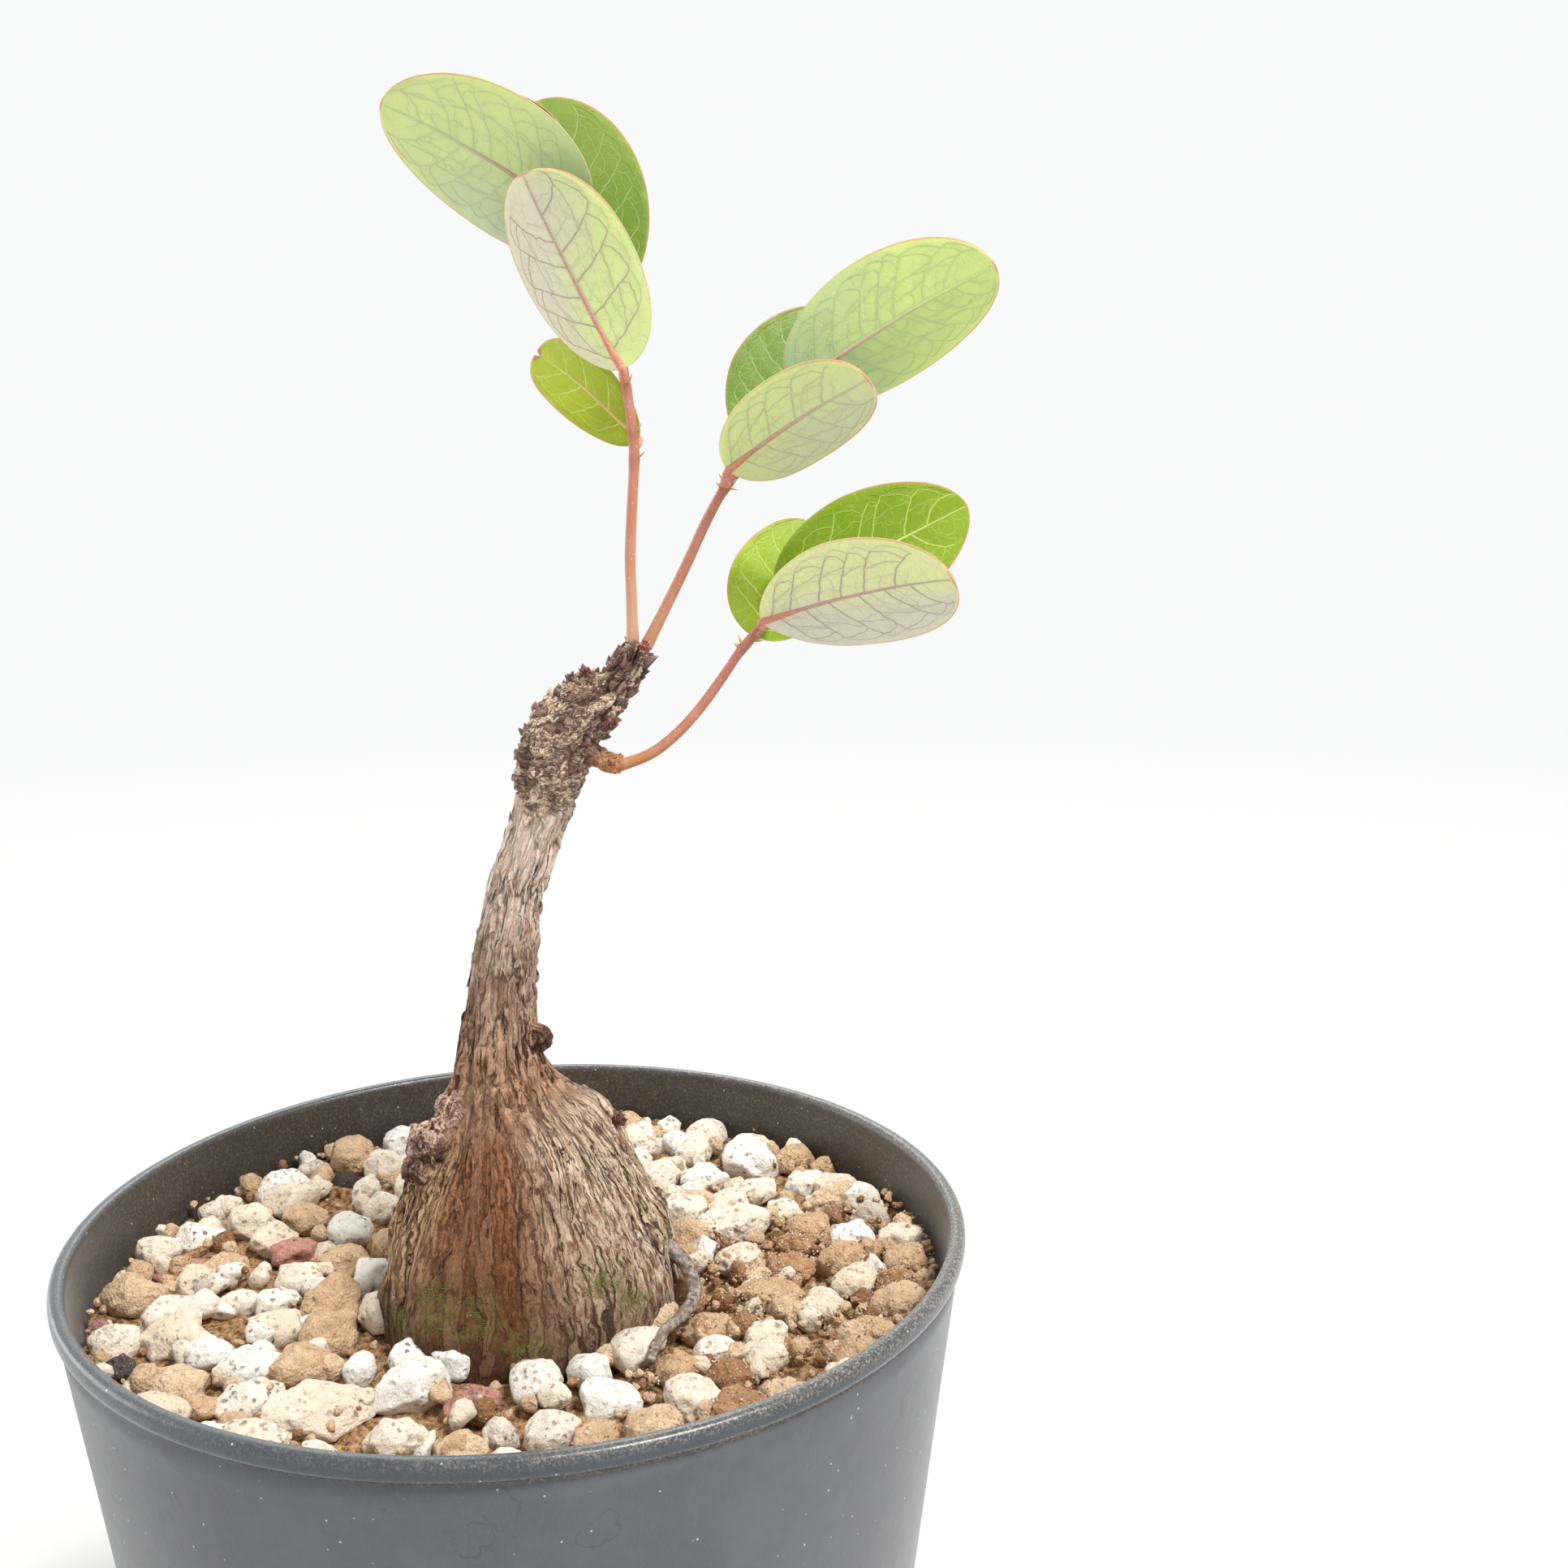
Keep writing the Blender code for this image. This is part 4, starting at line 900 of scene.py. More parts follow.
def mossy_colour(n, here, colour, moss):
    """A green film and pale lichen over a colour."""
    film = n.times(moss, n.rise(n.noise(here, 0.9, 6.0, 0.75), 0.36, 0.62))
    colour = n.tint(colour, srgb(116, 114, 60), film, 0.72)
    lichen = n.times(moss, n.rise(n.noise(here, 1.7, 4.0, 0.7), 0.60, 0.76))
    return n.tint(colour, srgb(214, 208, 182), lichen, 0.45)


def bark_material():
    """Flaky brown bark, with painted shade in its cracks and hollows. Look is relief, moss and cracks, and
    run holds turn and length.
    """
    n = Nodes("bark_flaky", Specular_IOR_Level=0.25)
    here = n.here()
    z = n.parts(here)[2]
    relief, moss, crack = n.look()
    run, slim, knob = n.stored("run", "Vector"), n.stored("slim"), n.stored("knob")
    crown = n.rise(n.plus(z, n.times(n.noise(here, 0.45, 3.0), 12.0)), 151.0, 153.5)
    wobble = n.shake(here, 0.45, (1.7, 1.7, 1.2), 4.0)
    pairs = zip(bark_lines(n, run, wobble, 16.0), bark_lines(n, run, wobble, 5.5))
    streak, line, ledge, fine_line, fine_ledge = [n.blend(slim, wide, narrow) for wide, narrow in pairs]
    crumb = n.noise(here, 3.2, 6.0, 0.75)
    patch = n.noise(here, 0.28, 4.0, 0.6)
    brown, front = bark_brown(n, here, streak, patch, run, z)
    colour = n.mix(slim, brown, trunk_brown(n, streak, patch, z))
    colour = n.tint(colour, srgb(230, 194, 156), n.rise(crumb, 0.55, 0.75), n.blend(front, 0.45, 0.25))
    colour = n.tint(colour, srgb(86, 56, 42), n.rise(crumb, 0.45, 0.25), 0.5)
    # Painted highlight: the raised side of each wide fissure's ledge is lighter.
    colour = n.tint(colour, srgb(226, 188, 150), ledge, 0.12)
    colour = n.tint(colour, srgb(112, 72, 48), fine_ledge, 0.16)
    # Dark fissure lines, with painted shade in the cracks and hollows.
    dark = bark_lines_and_painted_shade(n, here, z, front, line, fine_line, relief, crack)
    colour = n.tint(colour, srgb(60, 36, 26), dark, 0.92)
    knobbly, shiny = knob_brown(n, here, crumb, z)
    folded, fold = crown_colour(n, here, crumb)
    colour = n.tint(n.tint(colour, knobbly, knob), folded, crown)
    plain = n.minus(1.0, n.most(crown, knob))
    rough = n.bump(crumb, 0.30)
    ledges = n.bump(n.times(n.plus(ledge, n.times(fine_ledge, 0.5)), plain), 0.40, rough)
    folds = n.bump(n.times(fold, n.most(crown, n.times(knob, 0.5))), 0.45, ledges)
    cracks = n.bump(n.minus(1.0, n.times(dark, plain)), 0.42, folds)
    roughness = n.minus(0.86, n.times(n.times(knob, shiny), 0.55))
    return n.finish(mossy_colour(n, here, colour, moss), roughness, cracks)


def bark_brown(n, here, streak, patch, run, z):
    """The caudex: red-brown and finely speckled in front, dark at its foot, and paler at its sides, which
    is painted light from the right and the left.
    """
    right, back, _ = n.parts(run)
    brown = n.mix(n.rise(streak, 0.40, 0.60), srgb(74, 39, 19), srgb(160, 101, 62))
    front = n.times(n.rise(back, -0.5, -0.85), n.rise(right, 0.5, 0.25))
    low_front = n.times(n.rise(back, -0.2, -0.85), n.rise(z, 108.0, 96.0))
    brown = n.tint(brown, srgb(98, 54, 28), n.rise(patch, 0.3, 0.62), n.times(low_front, 0.8))
    speck = n.rise(n.noise(n.stretch(here, 1.0, 1.0, 0.5), 3.4, 4.0, 0.8), 0.53, 0.62)
    brown = n.tint(brown, srgb(196, 150, 116), n.times(speck, front), 0.45)
    # Painted light: the right side is made paler, as if lit from the right.
    pale = n.mix(n.rise(streak, 0.38, 0.60), srgb(150, 112, 84), srgb(255, 238, 212))
    brown = n.tint(brown, pale, n.rise(right, 0.0, 0.65), 0.75)
    # Painted light: the left side is made a paler tan, as if lit from the left.
    tan = n.mix(n.rise(streak, 0.40, 0.60), srgb(112, 76, 48), srgb(246, 212, 168))
    brown = n.tint(brown, tan, n.rise(right, -0.35, -0.9), 0.75)
    brown = n.tint(brown, srgb(104, 62, 32), low_front, 0.35)
    foot = n.times(n.rise(z, 95.5, 88.5), n.rise(back, 0.3, -0.6))
    return n.tint(brown, srgb(66, 42, 28), foot, 0.7), front


def trunk_brown(n, streak, patch, z):
    """The trunk: brown at its foot, and an ever paler pinkish tan higher up, partly painted light on its
    lit top.
    """
    # Paler higher up: partly the trunk's own colour, partly painted light.
    high = n.rise(z, 115.0, 145.0)
    dark = n.mix(high, srgb(112, 74, 52), srgb(238, 200, 174))
    light = n.mix(high, srgb(196, 156, 126), srgb(255, 248, 234))
    trunk = n.mix(n.rise(streak, 0.38, 0.62), dark, light)
    lower = n.plus(n.times(n.rise(z, 140.0, 126.0), 0.5), 0.1)
    return n.tint(trunk, srgb(124, 84, 64), n.rise(patch, 0.48, 0.6), lower)


def knob_brown(n, here, crumb, z):
    """The lumps on the left shoulder: wrinkled and pinkish, and dark and shiny low down."""
    where = n.stretch(n.shift(here, n.shake(here, 0.8, (2.0, 2.0, 2.0))), 1.0, 1.0, 0.5)
    line, _ = fissures(n, where, 0.030, 0.08)
    fibre = n.noise(where, 1.6, 4.0, 0.7)
    low = n.times(n.rise(z, 111.0, 109.0), n.rise(n.noise(here, 0.7, 3.0), 0.44, 0.54))
    knob = n.mix(n.rise(fibre, 0.38, 0.62), srgb(112, 72, 54), srgb(232, 200, 178))
    shiny = n.mix(n.rise(crumb, 0.4, 0.7), srgb(58, 34, 28), srgb(128, 88, 74))
    knob = n.tint(knob, shiny, low, 0.85)
    return n.tint(knob, srgb(76, 44, 32), line, 0.8), low


def scale_material():
    """Dry pointed bud scales. Look is tone, share along the scale and redness."""
    n = Nodes("bud_scale", Specular_IOR_Level=0.5)
    here = n.here()
    tone, along, red = n.look()
    colour = n.mix(n.rise(tone, 0.0, 0.6), srgb(58, 42, 42), srgb(128, 98, 88))
    colour = n.tint(colour, srgb(196, 166, 138), n.rise(tone, 0.55, 0.9))
    colour = n.tint(colour, srgb(112, 58, 54), n.rise(red, 0.0, 0.6), 0.7)
    colour = n.tint(colour, srgb(186, 114, 106), n.rise(red, 0.7, 1.0))
    colour = n.tint(colour, srgb(176, 144, 124), n.rise(along, 0.75, 1.0), 0.5)
    fine = n.noise(here, 4.0, 4.0)
    colour = n.tint(colour, srgb(160, 132, 114), n.rise(fine, 0.5, 0.7), 0.35)
    return n.finish(colour, n.plus(n.times(fine, 0.3), 0.26), n.bump(fine, 0.08))


def spur_material():
    """The spur's skin: dark and scaly where it leaves the crown, then orange like a young stem."""
    n = Nodes("spur_skin", Specular_IOR_Level=0.4)
    here = n.here()
    along, top, _ = n.look()
    fine = n.noise(here, 3.0, 5.0, 0.7)
    young = n.mix(n.rise(fine, 0.35, 0.65), srgb(150, 92, 58), srgb(206, 150, 96))
    dark = n.mix(n.rise(fine, 0.35, 0.65), srgb(70, 46, 42), srgb(142, 108, 92))
    share = n.plus(n.times(n.rise(along, 0.35, 0.75), 1.2), n.times(top, -0.45))
    colour = n.mix(n.plus(share, n.times(n.minus(fine, 0.5), 0.8), clamp=True), dark, young)
    return n.finish(colour, 0.5, n.bump(fine, 0.25))


def root_material():
    """The thin grey root that lies on the mix."""
    n = Nodes("root_skin", Specular_IOR_Level=0.2)
    here = n.here()
    fine = n.noise(here, 1.6, 6.0, 0.7)
    colour = n.mix(n.rise(fine, 0.35, 0.65), srgb(88, 74, 68), srgb(176, 164, 154))
    colour = n.tint(colour, srgb(120, 100, 84), n.rise(n.noise(here, 0.5), 0.55, 0.7))
    return n.finish(colour, 0.9, n.bump(fine, 0.3))


def moss_material():
    n = Nodes("moss", Specular_IOR_Level=0.2)
    tone, along, _ = n.look()
    colour = n.mix(tone, srgb(76, 92, 36), srgb(142, 150, 78))
    colour = n.tint(colour, srgb(176, 180, 116), along, 0.4)
    colour = n.tint(colour, srgb(60, 66, 32), n.noise(n.here(), 6.0), 0.3)
    return n.finish(colour, 0.8)


def stone_specks(n, here):
    """Black specks of two sizes."""
    shaken = n.shift(n.shift(here, (3.1, 5.7, 1.3)), n.shake(here, 2.5, (0.6, 0.6, 0.6)))
    large = n.spots(shaken, 1.0, (0.34, 0.24), n.noise(here, 0.7, 2.0), (0.45, 0.52))
    small = n.spots(here, 2.3, (0.2, 0.1), n.noise(here, 0.6, 2.0), (0.55, 0.6))
    return n.most(large, small)


def stone_material(kind, base, second, grainy, pores, specks):
    """A kind of stone. Look is tone, hollows of the shape that are painted shaded, and how speckled this
    stone is.
    """
    n = Nodes("stone_" + kind, Specular_IOR_Level=0.2)
    base, second = srgb(*base), srgb(*second)
    here = n.here()
    tone, shaded_hollow, speckled = n.look()
    cloud = n.noise(here, 0.35, 4.0, 0.6)
    blend = n.plus(n.times(cloud, 0.9), n.minus(tone, 0.95))
    colour = n.mix(n.plus(blend, 0.5, clamp=True), base, second)
    shade = tuple(c * s for c, s in zip(base, (0.45, 0.37, 0.29, 1.0)))
    light = tuple(min(0.35 + 0.75 * c, 1.0) for c in base)
    grain = n.noise(here, 2.6, 6.0, 0.75)
    lumps = n.cells(here, 2.8)
    colour = n.tint(colour, shade, n.rise(grain, 0.5, 0.28), 0.35 + 0.4 * grainy)
    colour = n.tint(colour, light, n.rise(lumps, 0.30, 0.12), 0.6 * grainy)
    pits = n.spots(n.shift(here, (7.7, 1.9, 4.3)), 1.15, (0.38, 0.16), n.noise(here, 0.5), (0.48, 0.6))
    # Painted shade in the pits.
    colour = n.tint(colour, shade, pits, 0.6 * pores)
    area = n.noise(here, 0.4, 2.0)
    # Painted glints: tiny bright specks on the grainy stones.
    glitter = n.spots(n.shift(here, (2.3, 8.1, 6.7)), 2.4, (0.22, 0.12), area, (0.46, 0.54))
    colour = n.tint(colour, srgb(252, 242, 228), glitter, grainy)
    colour = n.tint(colour, srgb(58, 58, 62), stone_specks(n, here), n.times(speckled, specks))
    # Painted shade in the hollows between lumps and in the pits.
    colour = n.tint(colour, shade, shaded_hollow, 0.5)
    fine = n.bump(grain, 0.32 + 0.15 * grainy)
    crumbs = n.bump(n.minus(1.0, lumps), 0.05 + 0.30 * grainy, fine)
    return n.finish(colour, 0.92, n.bump(n.minus(1.0, pits), 0.25 * pores, crumbs))


def core_material():
    """Fine brown mix between the stones."""
    n = Nodes("mix_fines", Specular_IOR_Level=0.2)
    here = n.here()
    grain = n.noise(here, 1.4, 6.0, 0.75)
    colour = n.mix(n.rise(grain, 0.35, 0.65), srgb(88, 60, 40), srgb(204, 162, 116))
    # Painted glints: tiny bright specks in the mix.
    glitter = n.rise(n.cells(here, 2.2), 0.16, 0.07)
    colour = n.tint(colour, srgb(242, 228, 208), glitter, 0.8)
    return n.finish(colour, 0.95, n.bump(grain, 0.5))


def stem_material():
    """Smooth red-brown stem. Look is share along the stem, node swelling, and how pale its foot is."""
    n = Nodes("stem_skin", Specular_IOR_Level=0.4, Subsurface_Weight=0.1, Subsurface_Scale=MM)
    here = n.here()
    along, node, pale = n.look()
    colour = n.mix(n.rise(along, 0.0, 0.35), srgb(184, 128, 80), srgb(186, 122, 96))
    colour = n.tint(colour, srgb(176, 108, 98), n.rise(along, 0.3, 1.0))
    patch = n.rise(n.noise(n.stretch(here, 1.0, 1.0, 0.3), 0.9, 4.0), 0.4, 0.7)
    colour = n.tint(colour, srgb(204, 148, 122), patch, 0.45)
    specks = n.times(n.rise(n.cells(here, 1.5), 0.16, 0.08), 0.55)
    colour = n.tint(colour, srgb(238, 208, 182), specks)
    colour = n.tint(colour, srgb(150, 92, 66), node, 0.5)
    colour = n.tint(colour, srgb(228, 206, 190), n.rise(along, 0.30, 0.02), pale)
    fine = n.noise(n.stretch(here, 1.0, 1.0, 0.2), 6.0, 3.0)
    return n.finish(colour, 0.42, n.bump(fine, 0.05))


def thorn_material():
    n = Nodes("stipule_dry", Specular_IOR_Level=0.3)
    along = n.look()[1]
    colour = n.mix(along, srgb(170, 120, 84), srgb(226, 204, 170))
    fine = n.noise(n.here(), 5.0)
    colour = n.tint(colour, srgb(140, 96, 70), fine, 0.4)
    return n.finish(colour, 0.6, n.bump(fine, 0.05))


def blade_colour(n, here, share, side, look):
    """The colour of a blade: main, and second where drift, an amount along, across and in all, is high. The
    second partly paints light shining through the blade.
    """
    along, across, all_over = look.drift
    lean = n.plus(n.times(share, along), n.times(side, across))
    lean = n.plus(n.plus(lean, all_over), n.times(n.noise(here, 0.12, 3.0), 0.7))
    return n.mix(n.rise(lean, 0.1, 1.0), look.main, look.second)


def leaf_face_material(name, look, margin, red_tip, gloss):
    """One face of a leaf. Look is share along the blade, side, and distance from its edge in mm."""
    n = Nodes(name, Specular_IOR_Level=0.3, Subsurface_Weight=0.25, Subsurface_Scale=0.5 * MM)
    n.shader.inputs["Subsurface Radius"].default_value = (1.0, 1.0, 0.6)
    here = n.here()
    share, side, edge = n.look()
    colour = blade_colour(n, here, share, side, look)
    cloud = n.noise(here, 0.45, 4.0, 0.6)
    darker = tuple(0.84 * part for part in look.main)
    colour = n.tint(colour, darker, n.rise(cloud, 0.45, 0.7), 0.18)
    bent = n.shift(here, n.shake(here, 0.6, (2.0, 2.0, 2.0)))
    net = n.cells(bent, 0.62, "DISTANCE_TO_EDGE")
    mesh = n.rise(net, 0.06, 0.0)
    colour = n.tint(colour, look.vein, mesh, 0.22 * (1.0 - look.faint))
    tissue = n.noise(here, 9.0, 2.0)
    colour = n.tint(colour, look.vein, n.rise(tissue, 0.5, 0.8), 0.12)
    warm = n.times(n.rise(edge, 1.6, 0.0), n.rise(share, 0.35, 1.0))
    colour = n.tint(colour, margin, warm, 0.30)
    line = n.rise(edge, 0.30, 0.08)
    red = n.times(line, n.plus(n.times(n.rise(share, 0.3, 1.0), 0.5), 0.25))
    colour = n.tint(colour, red_tip, red)
    relief = n.bump(n.minus(1.0, mesh), 0.012)
    fine = n.bump(tissue, 0.012, relief)
    return n.finish(colour, n.plus(n.times(cloud, 0.15), gloss), fine)


def vein_material(name, look):
    """Leaf veins. Look is share along the blade, how thin the vein is, 0 for the midrib, and side."""
    n = Nodes(name, Specular_IOR_Level=0.25, Subsurface_Weight=0.2, Subsurface_Scale=0.5 * MM)
    here = n.here()
    share, thinness, side = n.look()
    blade = blade_colour(n, here, share, side, look)
    middle = n.mix(n.rise(share, 0.35, 1.0), look.rib, look.vein)
    colour = n.mix(n.rise(thinness, 0.0, 0.3), middle, look.vein)
    weak = n.times(n.rise(thinness, 0.35, 1.0), 0.8)
    fading = n.most(n.rise(thinness, 0.0, 0.3), n.rise(share, 0.25, 0.9))
    weak = n.most(weak, n.times(fading, look.faint))
    colour = n.tint(colour, blade, weak)
    fine = n.noise(here, 3.0, 3.0)
    colour = n.tint(colour, blade, n.rise(fine, 0.4, 0.7), 0.2)
    return n.finish(colour, 0.55, n.bump(fine, 0.02))


def stalk_material(name):
    n = Nodes(name, Specular_IOR_Level=0.3, Subsurface_Weight=0.2, Subsurface_Scale=0.5 * MM)
    fine = n.noise(n.here(), 3.0, 3.0)
    colour = n.mix(n.rise(fine, 0.4, 0.7), srgb(206, 146, 124), srgb(196, 120, 100))
    return n.finish(colour, 0.5, n.bump(fine, 0.02))


# Pot

def wall_radius(height):
    """The outer radius of the pot's wall at a height."""
    top = RIM_RADIUS - RIM_OVERHANG
    return top - WALL_TAPER * (POT_HEIGHT - RIM_DEPTH - height)


def bead_arc(start, end, steps):
    """Points of the rolled rim as a rounded oblong. Angles in degrees, 0 outwards and 90 up."""
    low = POT_HEIGHT - RIM_DEPTH
    inner = wall_radius(low) - WALL_THICKNESS
    middle = ((inner + RIM_RADIUS) / 2, (low + POT_HEIGHT) / 2)
    half = ((RIM_RADIUS - inner) / 2, RIM_DEPTH / 2)
    points = []
    for angle in np.radians(np.linspace(start, end, steps)):
        way = (math.cos(angle), math.sin(angle))
        points.append([m + h * np.sign(w) * abs(w) ** 0.75 for m, h, w in zip(middle, half, way)])
    return points


def pot_profiles():
    """The inside and the outside of the pot as (radius, height) points."""
    low = POT_HEIGHT - RIM_DEPTH
    inner_floor = wall_radius(FLOOR_THICKNESS) - WALL_THICKNESS
    inner_lip = wall_radius(low) - WALL_THICKNESS
    flare = inner_lip - inner_floor
    heights = np.linspace(FLOOR_THICKNESS + 1.5, low, 26)
    wall = [(inner_floor + flare * (h - heights[0]) / (low - heights[0]), h) for h in heights]
    inside = [(radius, FLOOR_THICKNESS) for radius in (0.6, 12.0, inner_floor - 1.5)] + wall[:-1]
    outside = bead_arc(178.0, -88.0, BEAD_RINGS)
    outside += [(wall_radius(h), h) for h in np.linspace(low - 0.1, 1.2, 34)]
    outside += [(wall_radius(0.3) - 0.5, 0.3), (wall_radius(0.0) - 1.1, 0.0), (12.0, 0.0), (0.6, 0.0)]
    return inside, outside


def rim_wear(angle, height):
    """Small dents that a used thin-walled pot has, always inwards."""
    way = np.column_stack([np.cos(angle), np.sin(angle), height / 30.0])
    wave = soft_noise(way * 1.6, 31) - 1.0
    nicks = np.minimum(0.0, soft_noise(np.column_stack([way[:, :2] * 26.0, height / 1.2]), 32) + 0.55)
    return 0.07 * wave + 0.12 * nicks * smooth_step(height, POT_HEIGHT - RIM_DEPTH, POT_HEIGHT - 1.0)


def make_pot():
    """The pot as one closed turned form: dark inside, a lighter bead at the rim, and grey outside."""
    inside, outside = pot_profiles()
    profile = np.array(inside + outside)
    angle, radius, height = turned_grid(profile, POT_SIDES)
    radius = radius + rim_wear(angle, height) * (radius > 20.0)
    points, faces = closed_rings(turned_points(angle, radius, height), [POT_SIDES] * len(profile))
    faces = faces[:, ::-1]
    ring = faces.min(axis=1) // POT_SIDES
    borders = [len(inside) + DARK_BEAD_RINGS, len(inside) + BEAD_RINGS]
    shape = Shape()
    shape.add(points, faces, np.searchsorted(borders, ring, "right"))
    black = pot_material("pot_inside", srgb(42, 38, 35), 0.30, 0.2, srgb(116, 102, 84), 0.6)
    bead = pot_material("pot_bead", srgb(54, 60, 66), 0.12, 0.25, srgb(184, 166, 140), 0.02)
    grey = pot_material("pot_outside", srgb(78, 79, 83), 0.36, 0.25, srgb(186, 166, 136), 0.0)
    pot = shape.build("nursery_pot", [black, bead, grey], "pot", "pot")
    cut_drain_holes(pot)


def cut_drain_holes(pot):
    """Cuts a ring of round holes through the pot's floor."""
    cutters = bpy.data.collections.new("drain_cutters")
    bpy.context.scene.collection.children.link(cutters)
    for number in range(DRAIN_HOLES):
        angle = 2 * math.pi * number / DRAIN_HOLES
        shape = bmesh.new()
        size = dict(radius1=DRAIN_RADIUS * MM, radius2=DRAIN_RADIUS * MM, depth=4 * FLOOR_THICKNESS * MM)
        bmesh.ops.create_cone(shape, cap_ends=True, segments=DRAIN_SIDES, **size)
        spot = Vector((DRAIN_CIRCLE * math.cos(angle), DRAIN_CIRCLE * math.sin(angle), 0.0)) * MM
        shape.transform(Matrix.Translation(spot))
        mesh = bpy.data.meshes.new("drain")
        shape.to_mesh(mesh)
        shape.free()
        cutters.objects.link(bpy.data.objects.new("drain", mesh))
    boolean = pot.modifiers.new("drains", "BOOLEAN")
    boolean.operand_type = "COLLECTION"
    boolean.collection = cutters
    boolean.solver = "EXACT"
    depsgraph = bpy.context.evaluated_depsgraph_get()
    mesh = bpy.data.meshes.new_from_object(pot.evaluated_get(depsgraph))
    pot.modifiers.clear()
    pot.data = mesh
    for cutter in list(cutters.objects):
        bpy.data.objects.remove(cutter, do_unlink=True)
    bpy.data.collections.remove(cutters)


# Bark

def cad_bark(angle, height):
    """How far the part's coarse bark stands out, as a share of its depth."""
    out = np.empty(len(angle))
    for index, (turn, level) in enumerate(zip(angle, height)):
        way = Vector((math.cos(turn), math.sin(turn), 0.0))
        drift = 6.4 * noise.noise(way + Vector((0.0, 0.0, level / 16.0)))
        ridge = math.sin(BARK_RIDGES * turn + drift)
        out[index] = 0.6 * ridge + 0.9 * noise.noise(way * 3.0 + Vector((0.0, 0.0, level / 5.0)))
    return out


def cad_radius(radius, angle, height):
    """The trunk's radius in the part: bark ridges, and shallow flutes where the caudex narrows."""
    relief = BARK_DEPTH * smooth_step(height, 84.0, 92.0) * np.minimum(1.0, 0.35 + radius / 18.0)
    relief = np.where(height > 146.0, 0.5, relief)
    shoulder = smooth_step(height, 100.0, 110.0) * (1.0 - smooth_step(height, 114.0, 122.0))
    flutes = FLUTE_DEPTH * radius * shoulder * np.sin(FLUTES * angle + FLUTE_TURN)
    return radius + relief * cad_bark(angle, height) + flutes


def caudex_share(radius):
    """1 where the trunk is as thick as the caudex, and 0 where it is slim."""
    return smooth_step(radius, 5.5, 10.5)


def crack_layer(turn, run, turns, length, seed):
    """Long narrow cracks and the plates between them, as depth and height."""
    bend = soft_noise(np.column_stack([turn * 3.0, run / 4.0]), seed + 20)
    where = np.column_stack([turn * turns + 0.9 * bend[:, None], run / length])
    wave = soft_noise(where, seed) + 0.4 * soft_noise(2.3 * where, seed + 1)
    return np.exp(-((wave / 0.17) ** 2)), np.tanh(wave / 0.30)


def bark_detail(angle, run, radius, points, lumpy):
    """Fine relief in millimetres, which cracks, plates and crown knobs make, and the cracks' depth."""
    turn = np.column_stack([np.cos(angle), np.sin(angle)])
    thick = caudex_share(radius)
    height = points[:, 2]
    crown = smooth_step(height + 1.2 * soft_noise(points / 2.2, 71), 145.5, 147.5)
    low_front = smooth_step(-turn[:, 1], 0.1, 0.8) * (1.0 - smooth_step(height, 97.0, 106.0))
    patch = (0.4 + 0.6 * smooth_step(soft_noise(points / 6.0, 3), -0.4, 0.4)) * (1.0 - 0.6 * low_front)
    relief, cracks = np.zeros(len(angle)), np.zeros(len(angle))
    for turns, length, on_caudex, rise, fall in CRACK_LAYERS:
        share = thick if on_caudex else 1.0 - thick
        crack, plate = crack_layer(turn, run, turns, length, int(turns))
        relief += share * patch * (rise * plate - fall * crack)
        cracks = np.maximum(cracks, crack * share * smooth_step(patch * fall, 0.06, 0.22))
    relief *= 1.0 - crown
    cracks *= 1.0 - crown
    warped = points + 0.6 * noise_rows(points / 1.1, 50)
    near, second, number = cell_distances(warped / np.array([1.7, 1.7, 1.1]), 5)
    gap = smooth_step(second - near, 0.0, 0.3)
    knobs = 0.50 * gap * (number - 0.3) - 0.20 * (1.0 - gap) + 0.24 * fractal(points / 1.4, 3, 9)
    relief += crown * knobs
    relief -= 0.28 * lumpy * np.exp(-((soft_noise(points / 1.3, 33) / 0.16) ** 2))
    grain = (0.05 + 0.24 * lumpy) * fractal(points / 0.8, 3, 8)
    relief += grain + (0.10 + 0.25 * lumpy) * soft_noise(points / 2.4, 12)
    return relief, cracks


def off_turn(angle, degrees):
    """How far each angle is from a turn in degrees, from -pi to pi."""
    return (angle - math.radians(degrees) + np.pi) % (2 * np.pi) - np.pi


def scar_relief(angle, height, radius):
    """Knots stand out with a dip in the middle, and pits are plain hollows."""
    relief = np.zeros(len(angle))
    for turn, level, wide, high, rise in BARK_SCARS:
        off = off_turn(angle, turn)
        away = (off * radius / wide) ** 2 + ((height - level) / high) ** 2
        relief += rise * (np.exp(-away) - (0.8 * np.exp(-6.0 * away) if rise > 0 else 0.0))
    return relief


def lump_reach(centres, ways, lump):
    """How far along each ray a lump's far side lies, or 0 where the ray misses it."""
    middle, half = np.array(lump[:3]), np.array(lump[3:])
    start, way = (centres - middle) / half, ways / half
    a, b, c = (way * way).sum(1), (start * way).sum(1), (start * start).sum(1) - 1.0
    inside = b * b - a * c
    return np.where(inside > 0, (-b + np.sqrt(np.maximum(inside, 0.0))) / a, 0.0)


def moss_share(angle, height, radius):
    """How mossy each point of the bark is, from 0 to 1."""
    share = np.zeros(len(angle))
    for turn, level, size in MOSS_PATCHES:
        off = off_turn(angle, turn)
        share = np.maximum(share, np.exp(-((off * radius) ** 2 + ((height - level) * 1.3) ** 2) / size**2))
    return np.clip(share * 1.3, 0.0, 1.0)


